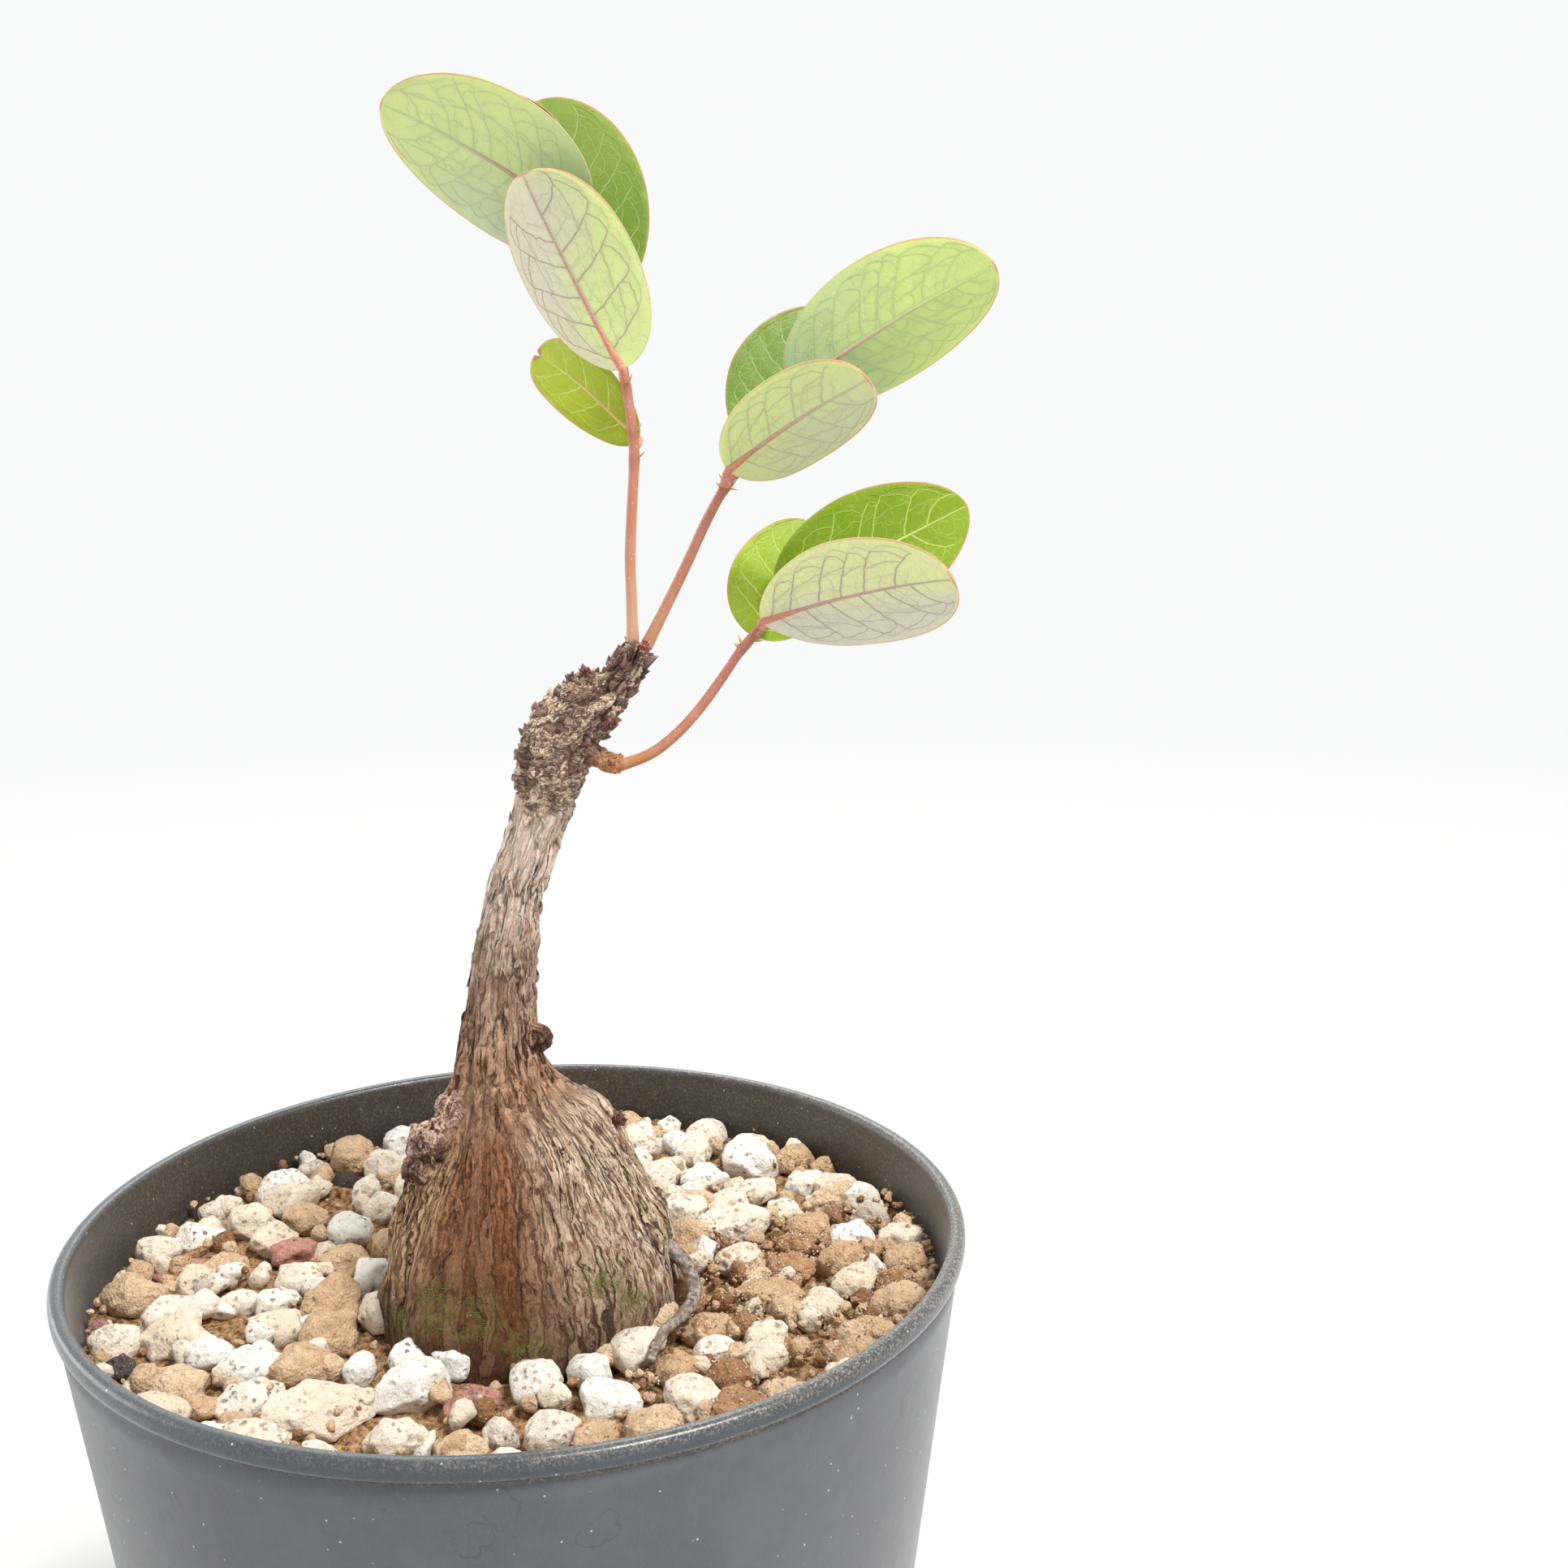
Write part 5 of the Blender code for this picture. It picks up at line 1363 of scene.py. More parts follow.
def trunk_grid():
    """Ring centres, directions, angles, runs and radii of every corner, and the ring sizes."""
    line = spline_points(TRUNK_STATIONS, 30)
    run = line_run(line)
    places, counts = [0.0], [TRUNK_BANDS[0][2]]
    for end, step, sides in TRUNK_BANDS:
        while places[-1] + step < min(end, run[-1]):
            places.append(places[-1] + step)
            counts.append(sides)
    rows = read_line(line, run, np.array(places))
    _, across, deep = line_frames(rows[:, :3])
    ring = np.repeat(np.arange(len(places)), counts)
    angle = np.concatenate([ring_angles(count) for count in counts])
    ways = across[ring] * np.cos(angle)[:, None] + deep[ring] * np.sin(angle)[:, None]
    return rows[ring, :3], ways, angle, np.array(places)[ring], rows[ring, 3], counts


def make_trunk():
    """The caudex, trunk and crown: the part's form with its lumps, under fine bark and moss."""
    centres, ways, angle, run, radius, counts = trunk_grid()
    plain = cad_radius(radius, angle, centres[:, 2])
    reach = plain.copy()
    for lump in BARK_LUMPS:
        bulge = lump_reach(centres, ways, lump)
        blend = np.maximum(1.2 - np.abs(reach - bulge), 0.0)
        reach = np.where(bulge > 0, np.maximum(reach, bulge) + blend**2 / 4.8, reach)
    lumpy = np.clip((reach - plain) / 0.6, 0.0, 1.0)
    points = centres + ways * reach[:, None]
    detail, cracks = bark_detail(angle, run, radius, points, lumpy)
    detail += scar_relief(angle, points[:, 2], reach)
    detail -= TIP_ROOM * smooth_step(centres[:, 0], 12.0, 14.5) * smooth_step(centres[:, 2], 156.0, 159.0)
    detail *= smooth_step(points[:, 2], 80.0, 86.0)
    points = points + ways * detail[:, None]
    moss = moss_share(angle, points[:, 2], reach)
    # Relief and cracks also tell the bark material where to paint shade.
    relief = np.clip(0.5 + detail / 1.2, 0.0, 1.0)
    look = np.column_stack([relief, moss, cracks])
    shape = Shape()
    shape.add(*closed_rings(points, counts), 0, np.vstack([look, look[-2:]]))
    trunk = shape.build("caudex_bark", [BARK], "bark", "caudex_trunk")
    add_bark_place(trunk, angle, run, radius, lumpy * (points[:, 2] < 116.0))
    return points, ways, moss


def add_bark_place(made, angle, run, radius, lumpy):
    """Stores what the bark material uses on a trunk or flakes, which may end with cap points."""
    flow = np.column_stack([np.cos(angle), np.sin(angle), run])
    slim = 1.0 - caudex_share(radius)
    rows = (("run", "FLOAT_VECTOR", flow), ("slim", "FLOAT", slim), ("knob", "FLOAT", lumpy))
    for name, kind, values in rows:
        attribute = made.data.attributes.new(name, kind, "POINT")
        extra = len(made.data.vertices) - len(values)
        values = np.concatenate([values, values[-1:].repeat(extra, axis=0)])
        field = "vector" if kind == "FLOAT_VECTOR" else "value"
        attribute.data.foreach_set(field, values.astype(np.float32).ravel())


def scale_form(length, width, curl):
    """A pointed scale, widest at its foot, that stands on the origin and bends as it rises."""
    share = np.linspace(0.0, 1.0, SCALE_RINGS)
    body = width * (1.0 - share**1.6) + 0.015
    line = np.column_stack([curl * length * share**2, np.zeros(SCALE_RINGS), length * share])
    points, faces = sweep(line, body, SCALE_SIDES, flat=0.28)
    heights = np.concatenate([np.repeat(share, SCALE_SIDES), [0.0, 1.0]])
    return points, faces, heights


def add_scale(shape, foot, way, length, width, curl, spin, tone, red):
    """Adds a scale that points along way, with its foot sunk a little."""
    points, faces, heights = scale_form(length, width, curl)
    points = points @ aim_matrix(way, spin).T + foot
    shape.add(points - 0.25 * length * unit(way), faces, 0, looks(len(points), tone, heights, red))


def add_tuft(shape, middle, way, count, core, size, chance, red):
    """Scales that stand out all over a small ball, most of them towards way."""
    solid, _, faces = ball_template(2, 0)
    shape.add(solid * core + middle, faces, 0, (0.1, 0.6, red[0]))
    for _ in range(count):
        out = unit(draws(chance.gauss, 0.0, 1.0) + way)
        lean = out + 0.5 * draws(chance.gauss, 0.0, 0.6)
        length = size * chance.uniform(0.7, 1.3)
        width = length * chance.uniform(0.34, 0.5)
        curl, spin = chance.uniform(-0.5, 0.5), chance.uniform(0, 6.3)
        tone = chance.uniform(0, 0.5)
        add_scale(shape, middle + out * core, lean, length, width, curl, spin, tone, chance.uniform(*red))


def bark_spot(points, ways, spot):
    """The bark's nearest point to a spot, and the way out of the bark there."""
    index = nearest(points, spot)
    return points[index], ways[index]


def add_crown_scales(shape, points, ways, chance):
    """Scales on the crown: few and small on its old left side, broad and dark on its right and tip."""
    usable = np.flatnonzero(points[:, 2] + 1.2 * soft_noise(points / 1.5, 91) > 148.0)
    placed = []
    while len(placed) < CROWN_SCALES:
        index = chance.choice(usable)
        foot, outward = points[index], ways[index]
        tip = float(smooth_step(foot[0], 9.0, 14.5) * smooth_step(foot[2], 150.0, 156.0))
        right = float(smooth_step(outward[0], 0.0, 0.7) * smooth_step(foot[2], 149.0, 153.0))
        old = 1.0 - max(tip, 0.8 * right)
        size = (0.70 + 0.55 * (1.0 - old)) * chance.uniform(0.7, 1.3)
        room = (0.55 + 0.3 * old) * size
        if any(((foot - other) ** 2).sum() < room**2 for other in placed):
            continue
        placed.append(foot)
        up = np.array([0.55, 0.0, 0.85])
        rise = chance.uniform(0.35, 0.9) if chance.random() < 0.7 else 1.5
        way = unit(up - outward * outward.dot(up)) + outward * rise
        tone = chance.uniform(0.3, 0.95) if old > 0.5 else chance.random() ** 2 * 0.7
        red = chance.random() * (0.2 if old > 0.5 else 0.5)
        width, curl = size * chance.uniform(0.40, 0.58), chance.uniform(-0.3, 0.5)
        add_scale(shape, foot, way, size, width, curl, scale_spin(way, outward), tone, red)


def scale_spin(way, outward):
    """The turn about its own length that lays a scale's broad side against the bark."""
    flat = aim_matrix(way)
    return math.atan2(float(flat[:, 1].dot(outward)), float(flat[:, 0].dot(outward))) + math.pi / 2


def add_spur_scales(shape, chance):
    """Scales along the middle of the spur, which lean towards its tip."""
    for middle in spline_points(SPUR_ROUTE, 6)[3:-3]:
        for _ in range(SPUR_SCALES_A_STEP):
            out = unit(np.array([chance.gauss(0.0, 0.5), chance.gauss(-0.3, 0.7), chance.gauss(0.7, 0.7)]))
            length = chance.uniform(0.5, 0.8)
            curl, spin = chance.uniform(-0.2, 0.4), chance.uniform(0, 6.3)
            tone, red = chance.uniform(0, 0.3), chance.uniform(0.2, 0.6)
            foot, way = middle + out * SPUR_RADIUS * 0.8, out + np.array([0.9, 0.0, -0.1])
            add_scale(shape, foot, way, length, 0.45 * length, curl, spin, tone, red)


def make_bud_scales(points, ways):
    """Dry pointed scales: all over the crown and spur, and in tufts on the caudex."""
    chance = random.Random(SEED)
    shape = Shape()
    add_crown_scales(shape, points, ways, chance)
    for spot, count, core, size, red in BUD_TUFTS:
        middle, out = bark_spot(points, ways, spot)
        add_tuft(shape, middle + 0.25 * core * out, out, count, core, size, chance, red)
    add_spur_scales(shape, chance)
    shape.build("bud_scales", [scale_material()], "bark")


def make_bark_flakes(points, ways):
    """Thin flakes of bark that lie along its surface and lift a little at one end."""
    chance = random.Random(SEED + 1)
    shape = Shape()
    usable = np.flatnonzero((points[:, 2] > 92.0) & (points[:, 2] < 146.0))
    targets = points[usable][::3]
    for _ in range(BARK_FLAKES):
        index = chance.choice(usable)
        out = unit(ways[index])
        length = chance.uniform(0.9, 2.2)
        end = targets[nearest(targets, points[index] + length * UP)]
        up = unit(end - points[index] + 0.01 * UP)
        side = np.cross(up, out)
        share = np.linspace(0.0, 1.0, 5)
        along = np.outer(share * length, up)
        line = points[index] + along + np.outer(chance.uniform(-0.3, 0.3) * share * length, side)
        lift = chance.uniform(0.05, 0.25) * (share if chance.random() < 0.5 else 1.0 - share)
        line = line + np.outer(lift**2 * 4.0 + lift * 0.3 - 0.04, out)
        radii = chance.uniform(0.14, 0.34) * (0.25 + np.sin(np.pi * share) ** 0.6)
        shape.add(*sweep(line, radii, 5, 0.35), 0, (chance.uniform(0.5, 0.8), 0.0, 0.0))
    flakes = shape.build("bark_flakes", [BARK], "bark")
    x, y, z = np.vstack(shape.points).T
    angle = np.arctan2(y - TRUNK_AXIS[1], x - TRUNK_AXIS[0])
    radius = np.where(z > SLIM_LEVEL, 4.0, 12.0)
    add_bark_place(flakes, angle, z - TRUNK_STATIONS[0][2], radius, np.zeros(len(z)))


def make_spur():
    """The short side spur of the crown."""
    line = spline_points(SPUR_ROUTE, 16)
    radii = np.linspace(SPUR_FOOT_RADIUS, SPUR_RADIUS, len(line)) * np.linspace(0.95, 0.84, len(line))
    points, faces = sweep(line, radii, SPUR_SIDES)
    outward = unit(points - rod_looks(line, SPUR_SIDES) + 1e-6)
    points = points + outward * (0.16 * fractal(points / 0.8, 3, 21))[:, None]
    share = rod_looks(np.linspace(0.0, 1.0, len(line))[:, None], SPUR_SIDES)[:, 0]
    spur = Shape()
    spur.add(points, faces, 0, looks(len(share), share, np.clip(outward[:, 2], 0.0, 1.0), 0.0))
    spur.build("crown_spur", [spur_material()], "bark")


def make_root():
    """The thin root that lies on the mix."""
    line = spline_points(ROOT_ROUTE, 24)
    wander = 0.16 * noise_rows(line / 1.6, 40)
    radii = np.linspace(ROOT_RADIUS, ROOT_END_RADIUS, len(line)) * (1.0 + 0.18 * soft_noise(line / 0.9, 44))
    points, faces = sweep(line + wander, radii, ROOT_SIDES)
    root = Shape()
    root.add(points + 0.07 * fractal(points / 0.4, 2, 46)[:, None] * UP, faces)
    root.build("surface_root", [root_material()], "bark")


def make_moss(points, ways, moss):
    """Short green tufts where the foot of the bark is mossy."""
    chance = random.Random(SEED + 2)
    shape = Shape()
    usable = np.flatnonzero((moss > 0.5) & (points[:, 2] > 86.5) & (points[:, 2] < 100.0))
    grow = soft_noise(points[usable] / 0.9, 60)
    usable = usable[grow > 0.22]
    for _ in range(MOSS_HAIRS):
        index = chance.choice(usable)
        lean = [*draws(chance.uniform, -0.6, 0.6, 2), chance.uniform(-0.1, 0.8)]
        way = ways[index] + np.array(lean)
        length = chance.uniform(0.10, 0.30)
        tip = points[index] + unit(way) * length
        ring = turned_points(ring_angles(3), MOSS_HAIR_RADIUS, np.zeros(3))
        base = ring @ aim_matrix(way).T + points[index]
        tone = chance.random()
        look = [(tone, 0, 0), (tone, 0, 0), (tone, 0, 0), (tone, 1, 0)]
        shape.add(np.vstack([base, tip]), [(0, 1, 3), (1, 2, 3), (2, 0, 3), (2, 1, 0)], 0, look)
    shape.build("moss_tufts", [moss_material()], "bark")


# Mix

def inside_wall(x, y, reach):
    """Moves a stone's middle towards the pot's axis until it clears the wall."""
    room = wall_radius(GRIT_LEVEL) - WALL_THICKNESS - GAP - reach
    share = min(1.0, room / math.hypot(x, y))
    return x * share, y * share


def clay_share(x, y):
    """How much of the mix is brown clay at a place: most in the front right quarter."""
    across = smooth_step(x + 0.35 * y, -2.0, 14.0)
    return float(across * (1.0 - smooth_step(y - 0.3 * x, 0.0, 10.0)))


def small_kind(x, y, chance):
    """Brown clay lies in the front right quarter, pale pumice elsewhere with some clay."""
    draw = chance.random()
    if chance.random() < clay_share(x, y):
        return "brown" if draw < 0.25 else "tan" if draw < 0.82 else "cream"
    return next(kind for kind, limit in PALE_KINDS.items() if draw <= limit)


def trunk_gap(x, y):
    """How far a place on the mix is from the skin of the caudex."""
    trunk_x, trunk_y, _, reach = TRUNK_STATIONS[MIX_STATION]
    return math.hypot(x - trunk_x, y - trunk_y) - reach


def strewn(sizes, room, chance):
    """A random stone's radius, the angle of its spot, and the spot, moved clear of the wall."""
    radius = chance.uniform(*sizes)
    distance = wall_radius(GRIT_LEVEL) * math.sqrt(chance.random())
    angle = chance.uniform(0.0, 2 * math.pi)
    x, y = inside_wall(distance * math.cos(angle), distance * math.sin(angle), radius * room)
    return radius, angle, x, y


def rough_stone(middle, sizes, turn, count, kind, chance):
    """A stone of the part, with its random corners and tilt."""
    corners = 1.0 + draws(chance.uniform, -STONE_ROUGHNESS, STONE_ROUGHNESS, count)
    return Stone(middle, sizes, turn, chance.uniform(-STONE_TILT, STONE_TILT), corners, kind)


def lay_large(chance):
    """The part's large stones: the same list and the same random draws give the same forms."""
    stones = []
    for x, y, length, height, turn, kind in LARGE_STONES:
        sizes = (length / 2, LARGE_STONE_WIDTH * length / 2, (height + LARGE_STONE_ROOT) / 2)
        x, y = inside_wall(x, y, sizes[0] * (1.0 + STONE_ROUGHNESS))
        middle = (x, y, GRIT_LEVEL + height - sizes[2])
        count = MANY_CORNERS if length > BIG_STONE else FEW_CORNERS
        stones.append(rough_stone(middle, sizes, math.radians(turn), count, kind, chance))
    return stones


def lay_small(large, chance):
    """The part's small stones, strewn in the room that the large ones leave."""
    kinds = random.Random(SEED + 3)
    room = SMALL_STONE_SHAPE[0] * (1.0 + STONE_ROUGHNESS)
    stones = []
    taken = [(*stone.middle[:2], 2 * stone.sizes[0] * LARGE_STONE_ROOM) for stone in large]
    for _ in range(SMALL_STONE_TRIES):
        radius, angle, x, y = strewn(SMALL_STONE_RADIUS, room, chance)
        if trunk_gap(x, y) < -0.5 * radius:
            continue
        if any(math.hypot(x - a, y - b) < SMALL_STONE_OVERLAP * (radius + r) for a, b, r in taken):
            continue
        taken.append((x, y, radius))
        middle = (x, y, GRIT_LEVEL + radius * SMALL_STONE_RISE)
        sizes = [radius * share for share in SMALL_STONE_SHAPE]
        stones.append(rough_stone(middle, sizes, angle, FEW_CORNERS, small_kind(x, y, kinds), chance))
    return stones


def lay_filling(count, sizes, low, high, chance, clay_only=False):
    """Smaller stones scattered between and on the part's stones. The finest are all clay."""
    stones = []
    while len(stones) < count:
        radius, _, x, y = strewn(sizes, 1.3, chance)
        if trunk_gap(x, y) < 0.0:
            continue
        if clay_only and chance.random() > clay_share(x, y) + 0.12:
            continue
        shape = radius * draws(chance.uniform, 0.75, 1.25)
        corners = 1.0 + draws(chance.uniform, -0.25, 0.25, FEW_CORNERS)
        middle = (x, y, GRIT_LEVEL + chance.uniform(low, high))
        kind = chance.choice(("tan", "tan", "brown")) if clay_only else small_kind(x, y, chance)
        turn, tilt = chance.uniform(0, 6.3), chance.uniform(-1.0, 1.0)
        stones.append(Stone(middle, shape, turn, tilt, corners, kind))
    return stones


def chipped(form, cuts, shallow, chance):
    """Flattens a ball-like form along random planes, as broken stone has flat sides."""
    for _ in range(cuts):
        way = unit(draws(chance.gauss, 0, 1))
        over = form @ way - chance.uniform(shallow, 0.92)
        form = form - np.outer(0.5 * (over + np.sqrt(over**2 + 0.003)), way)
    return form


def eight_sides():
    """The corners and outward faces of an octahedron."""
    corners = np.vstack([np.eye(3), -np.eye(3)])
    faces = []
    for x, y, z in itertools.product((0, 3), (1, 4), (2, 5)):
        faces.append([x, y, z] if (x + y + z) % 2 else [x, z, y])
    return corners, np.array(faces)


def add_sand(shapes, chance):
    """Sharp pale and rusty grains that stick to the clay stones."""
    solid, faces = eight_sides()
    for kind, count in SAND.items():
        points = np.vstack(shapes[kind].points)
        x, y, z = points.T
        usable = np.flatnonzero((z > GRIT_LEVEL + 0.6) & (x > 4.0) & (y < 14.0))
        for _ in range(count):
            spot = points[chance.choice(usable)] + draws(chance.gauss, 0, 0.12)
            size = draws(chance.uniform, 0.07, 0.19)
            grain = "cream" if chance.random() < 0.55 else "brown" if kind == "tan" else "tan"
            shapes[grain].add(solid * size + spot, faces, 0, (chance.random(), 0.0, 0.0))


def add_stones(shapes, stones, finer, chance):
    """Shapes the stones finely and sorts them into one shape for each kind."""
    templates = {FEW_CORNERS: ball_template(1, finer), MANY_CORNERS: ball_template(2, finer)}
    for stone in stones:
        corners, shares, faces = templates[len(stone.corners)]
        flat = shares @ (corners * stone.corners[:, None])
        ball = unit(flat) * (shares @ stone.corners)[:, None]
        roundness, cuts, shallow, lumpy, pitted, fine = STONE_FORMS[stone.kind]
        form = chipped(flat + roundness * (ball - flat), cuts, shallow, chance) * np.array(stone.sizes)
        form = form @ turn_matrix(stone.turn, stone.tilt).T
        size = float(np.mean(stone.sizes))
        off = draws(chance.uniform, 0, 90)
        swell = fine * size * fractal((form / size + off) * 1.6, 3, 3)
        near = cell_distances(form / 1.1 + off, 4)[0]
        holes = cell_distances(form / 1.7 + off, 6)[0]
        pits = pitted * smooth_step(-holes, -0.34, -0.10)
        rise = swell + lumpy * (0.45 - near) - pits
        points = form + unit(form) * rise[:, None] + np.array(stone.middle)
        # Where shade is painted: the recesses between lumps and the pits.
        shaded_hollow = np.clip(smooth_step(near, 0.5, 0.9) * min(1.0, 3.0 * lumpy) + pits / 0.5, 0, 1)
        tone, speckled = chance.random(), chance.random() ** 0.7
        shapes[stone.kind].add(points, faces, 0, looks(len(points), tone, shaded_hollow, speckled))


def make_stones():
    """The stones, the larger the finer, as one piece for each kind."""
    places, chance = random.Random(SEED), random.Random(SEED + 4)
    large = lay_large(places)
    small = lay_small(large, places)
    shapes = {kind: Shape() for kind in STONE_FORMS}
    add_stones(shapes, [stone for stone in large if len(stone.corners) == MANY_CORNERS], 3, chance)
    add_stones(shapes, [stone for stone in large if len(stone.corners) == FEW_CORNERS], 4, chance)
    add_stones(shapes, small, 3, chance)
    add_stones(shapes, lay_filling(PEBBLES, PEBBLE_RADIUS, 0.0, 1.9, chance), 2, chance)
    add_stones(shapes, lay_filling(CRUMBS, CRUMB_RADIUS, 0.2, 2.0, chance, clay_only=True), 1, chance)
    add_sand(shapes, chance)
    for kind, look in STONE_LOOKS.items():
        shapes[kind].build("stones_" + kind, [stone_material(kind, *look)], "grit")


def make_core():
    """The mix below the stones: rough on top, plain where it fills the pot."""
    bottom = FLOOR_THICKNESS + GAP
    clear = WALL_THICKNESS + GAP
    top = GRIT_LEVEL - CORE_DROP
    low_edge = wall_radius(bottom) - clear
    profile = [(radius, top) for radius in np.linspace(0.2, wall_radius(top) - clear, CORE_RINGS)]
    profile += [(wall_radius(h) - clear, h) for h in np.linspace(top - 3, bottom + 2, CORE_WALL_RINGS)]
    profile += [(radius, bottom) for radius in (low_edge - 2.0, 10.0, 0.3)]
    angle, radius, height = turned_grid(np.array(profile), CORE_SIDES)
    points = turned_points(angle, radius, height)
    rough = CORE_ROUGHNESS * fractal(points / 1.6, 3, 71)
    points[:, 2] += rough * (height > top - 0.1)
    points, faces = closed_rings(points, [CORE_SIDES] * len(profile))
    shape = Shape()
    shape.add(points, faces[:, ::-1])
    shape.build("mix_core", [core_material()], "grit", "grit")


# Stems and leaves

def make_stem(name):
    """A round stem with swollen nodes and dry stipules. Its foot is sunk into the crown."""
    route = [np.array(point) for point in STEM_ROUTES[name]]
    route[0] = route[0] - STEM_SUNK * unit(route[1] - route[0])
    line = spline_points(route, STEM_STEPS)
    run = line_run(line)
    share = run / run[-1]
    radii = STEM_RADIUS + (STEM_END_RADIUS - STEM_RADIUS) * share
    nodes = np.array([spot[:3] for spot in STIPULES[name]])
    swell = sum(np.exp(-(np.linalg.norm(line - node, axis=1) / 0.9) ** 2) for node in nodes)
    foot = np.exp(-((run / 2.2) ** 2))
    radii = radii * (1.0 + 0.10 * swell + 0.12 * foot + 0.04 * soft_noise(line / 3.0, 80))
    look = looks(len(line), share, np.clip(swell, 0, 1), PALE_FEET[name])
    shape = Shape()
    shape.add(*sweep(line, radii, STEM_SIDES), 0, rod_looks(look, STEM_SIDES))
    add_stipules(shape, name, line)
    shape.build(name + "_skin", [stem_material(), thorn_material()], "stem", name)


def add_stipules(shape, name, line):
    """Pairs of small hooked stipules stand at the nodes."""
    for *spot, degrees in STIPULES[name]:
        angle = math.radians(degrees)
        middle = line[nearest(line, spot)]
        for turn, length in ((0.0, 1.15), (0.9, 0.8)):
            way = np.array([math.cos(angle + turn), -0.35, math.sin(angle + turn)])
            share = np.linspace(0.0, 1.0, 7)
            bend = UP * 0.35 * share[:, None] ** 2
            path = middle + 0.3 * way + np.outer(share * length, unit(way)) + bend
            hook = sweep(path, 0.26 * (1.0 - share) ** 0.7 + 0.03, STIPULE_SIDES, 0.6)
            shape.add(*hook, 1, rod_looks(looks(7, 0.5, share, 0.0), STIPULE_SIDES))


def blade_frame(leaf):
    """Unit vectors along the blade, across it, and out of its upper face."""
    along = unit(np.subtract(leaf.tip, leaf.base))
    facing = np.array([0.0, leaf.upper, 0.0])
    flat = unit(facing - along * along.dot(facing))
    side = np.cross(flat, along)
    roll = math.radians(leaf.roll)
    upper = flat * math.cos(roll) + side * math.sin(roll)
    across = side * math.cos(roll) - flat * math.sin(roll)
    return along, across, upper


def blade_length(leaf):
    return np.linalg.norm(np.subtract(leaf.tip, leaf.base))


def blade_reach(leaf, share):
    """Half the blade's width at a share of its length."""
    round_part = np.abs(2.0 * share**leaf.lean - 1.0) ** leaf.fullness
    return 0.5 * leaf.width * np.maximum(1.0 - round_part, 0.0) ** (1.0 / leaf.fullness)


def blade_points(leaf, share, side):
    """Points of the blade's middle surface and the directions out of its upper face."""
    along, across, upper = blade_frame(leaf)
    reach = blade_reach(leaf, share)
    fold = math.radians(leaf.fold)
    bulge = 4.0 * share * (1.0 - share)
    notch = leaf.notch * share**10 * (1.0 - side**2) ** 2
    points = np.array(leaf.base) + np.outer(blade_length(leaf) * share - notch, along)
    points += np.outer(reach * side * math.cos(fold) + leaf.bow * bulge, across)
    wave = 0.22 * np.abs(side) ** 2 * soft_noise(looks(len(share), share * 4.0, side * 1.5, leaf.width), 90)
    points += np.outer(reach * np.abs(side) * math.sin(fold) + leaf.arch * bulge + wave, upper)
    tilt = np.tanh(side * 5.0) * math.sin(fold)
    return points, unit(upper - np.outer(tilt, across))


def vein_paths(leaf, chance):
    """Veins as rows of (share, side), their half width, and how thin they are from 0 to 1."""
    shares = np.linspace(0.0, 0.985, 34)
    wander = np.cumsum(draws(chance.gauss, 0.0, 0.004, len(shares))) * shares
    midrib = np.column_stack([shares, wander])
    paths = [(midrib, 0.25 * (1.0 - shares) ** 0.8 + 0.05, 0.0)]
    for hand in (-1.0, 1.0):
        veins = []
        for k in range(leaf.veins):
            start = 0.05 + 0.80 * (k + 0.5 * (hand > 0) + chance.uniform(-0.2, 0.2)) / leaf.veins
            veins.append(side_vein(max(start, 0.03), hand, chance))
        for k, vein in enumerate(veins):
            paths.append((vein, np.linspace(0.10, 0.05, len(vein)), 0.35))
            paths.append((short_vein(vein, hand, chance), np.linspace(0.05, 0.03, 6), 0.9))
            if k + 1 < leaf.veins:
                paths += vein_links(vein, veins[k + 1], hand, chance)
    return paths


def side_vein(start, hand, chance):
    """Leaves the midrib steeply, bends towards the tip and zigzags a little."""
    t = np.linspace(0.0, 1.0, 11)
    lead = 0.11 + 0.09 * start + chance.uniform(-0.03, 0.03)
    share = start + lead * (0.55 * t + 0.45 * t**2.0)
    side = hand * (0.80 + chance.uniform(-0.05, 0.03)) * t
    share[1:] += draws(chance.gauss, 0.0, 0.003, len(t))[1:]
    return np.column_stack([np.minimum(share, 0.985), side])


def short_vein(vein, hand, chance):
    """A weak vein that leaves the midrib above a side vein and fades between two."""
    start = vein[0] + np.array([chance.uniform(0.05, 0.08), 0.0])
    end = start + np.array([chance.uniform(0.03, 0.07), hand * chance.uniform(0.25, 0.45)])
    return bent_path(start, np.minimum(end, 0.97), (0.0, 0.0), 6, chance, 0.02)


def bent_path(start, end, bend, steps, chance, shake):
    """A line from one point to another that bends sideways and shakes a little."""
    t = np.linspace(0.0, 1.0, steps)[:, None]
    path = start + (end - start) * t + np.array(bend) * 4 * t * (1 - t)
    path[1:-1] += [[chance.gauss(0, shake * 0.4), chance.gauss(0, shake)] for _ in range(steps - 2)]
    return path


def vein_links(lower, higher, hand, chance):
    """What joins two side veins: a loop near the margin, a fork, and a few weak cross veins."""
    loop = bent_path(lower[-1], higher[8], (0.012, 0.04 * hand), 8, chance, 0.008)
    outer = bent_path(lower[-1], higher[-1], (-0.01, 0.09 * hand), 8, chance, 0.006)
    branch = 5 + chance.choice((0, 1))
    fork = bent_path(lower[branch], higher[7], (0.01, 0.02 * hand), 8, chance, 0.014)
    links = [(loop, 0.045, 0.6), (outer, 0.03, 0.9), (fork, 0.045, 0.7)]
    for joint in (3, 6):
        across = joint + chance.choice((-1, 0, 1))
        bend = (0.0, 0.03 * chance.uniform(-1, 1))
        cross = bent_path(lower[joint], higher[across], bend, 6, chance, 0.022)
        links.append((cross, 0.03, 1.0))
    return links


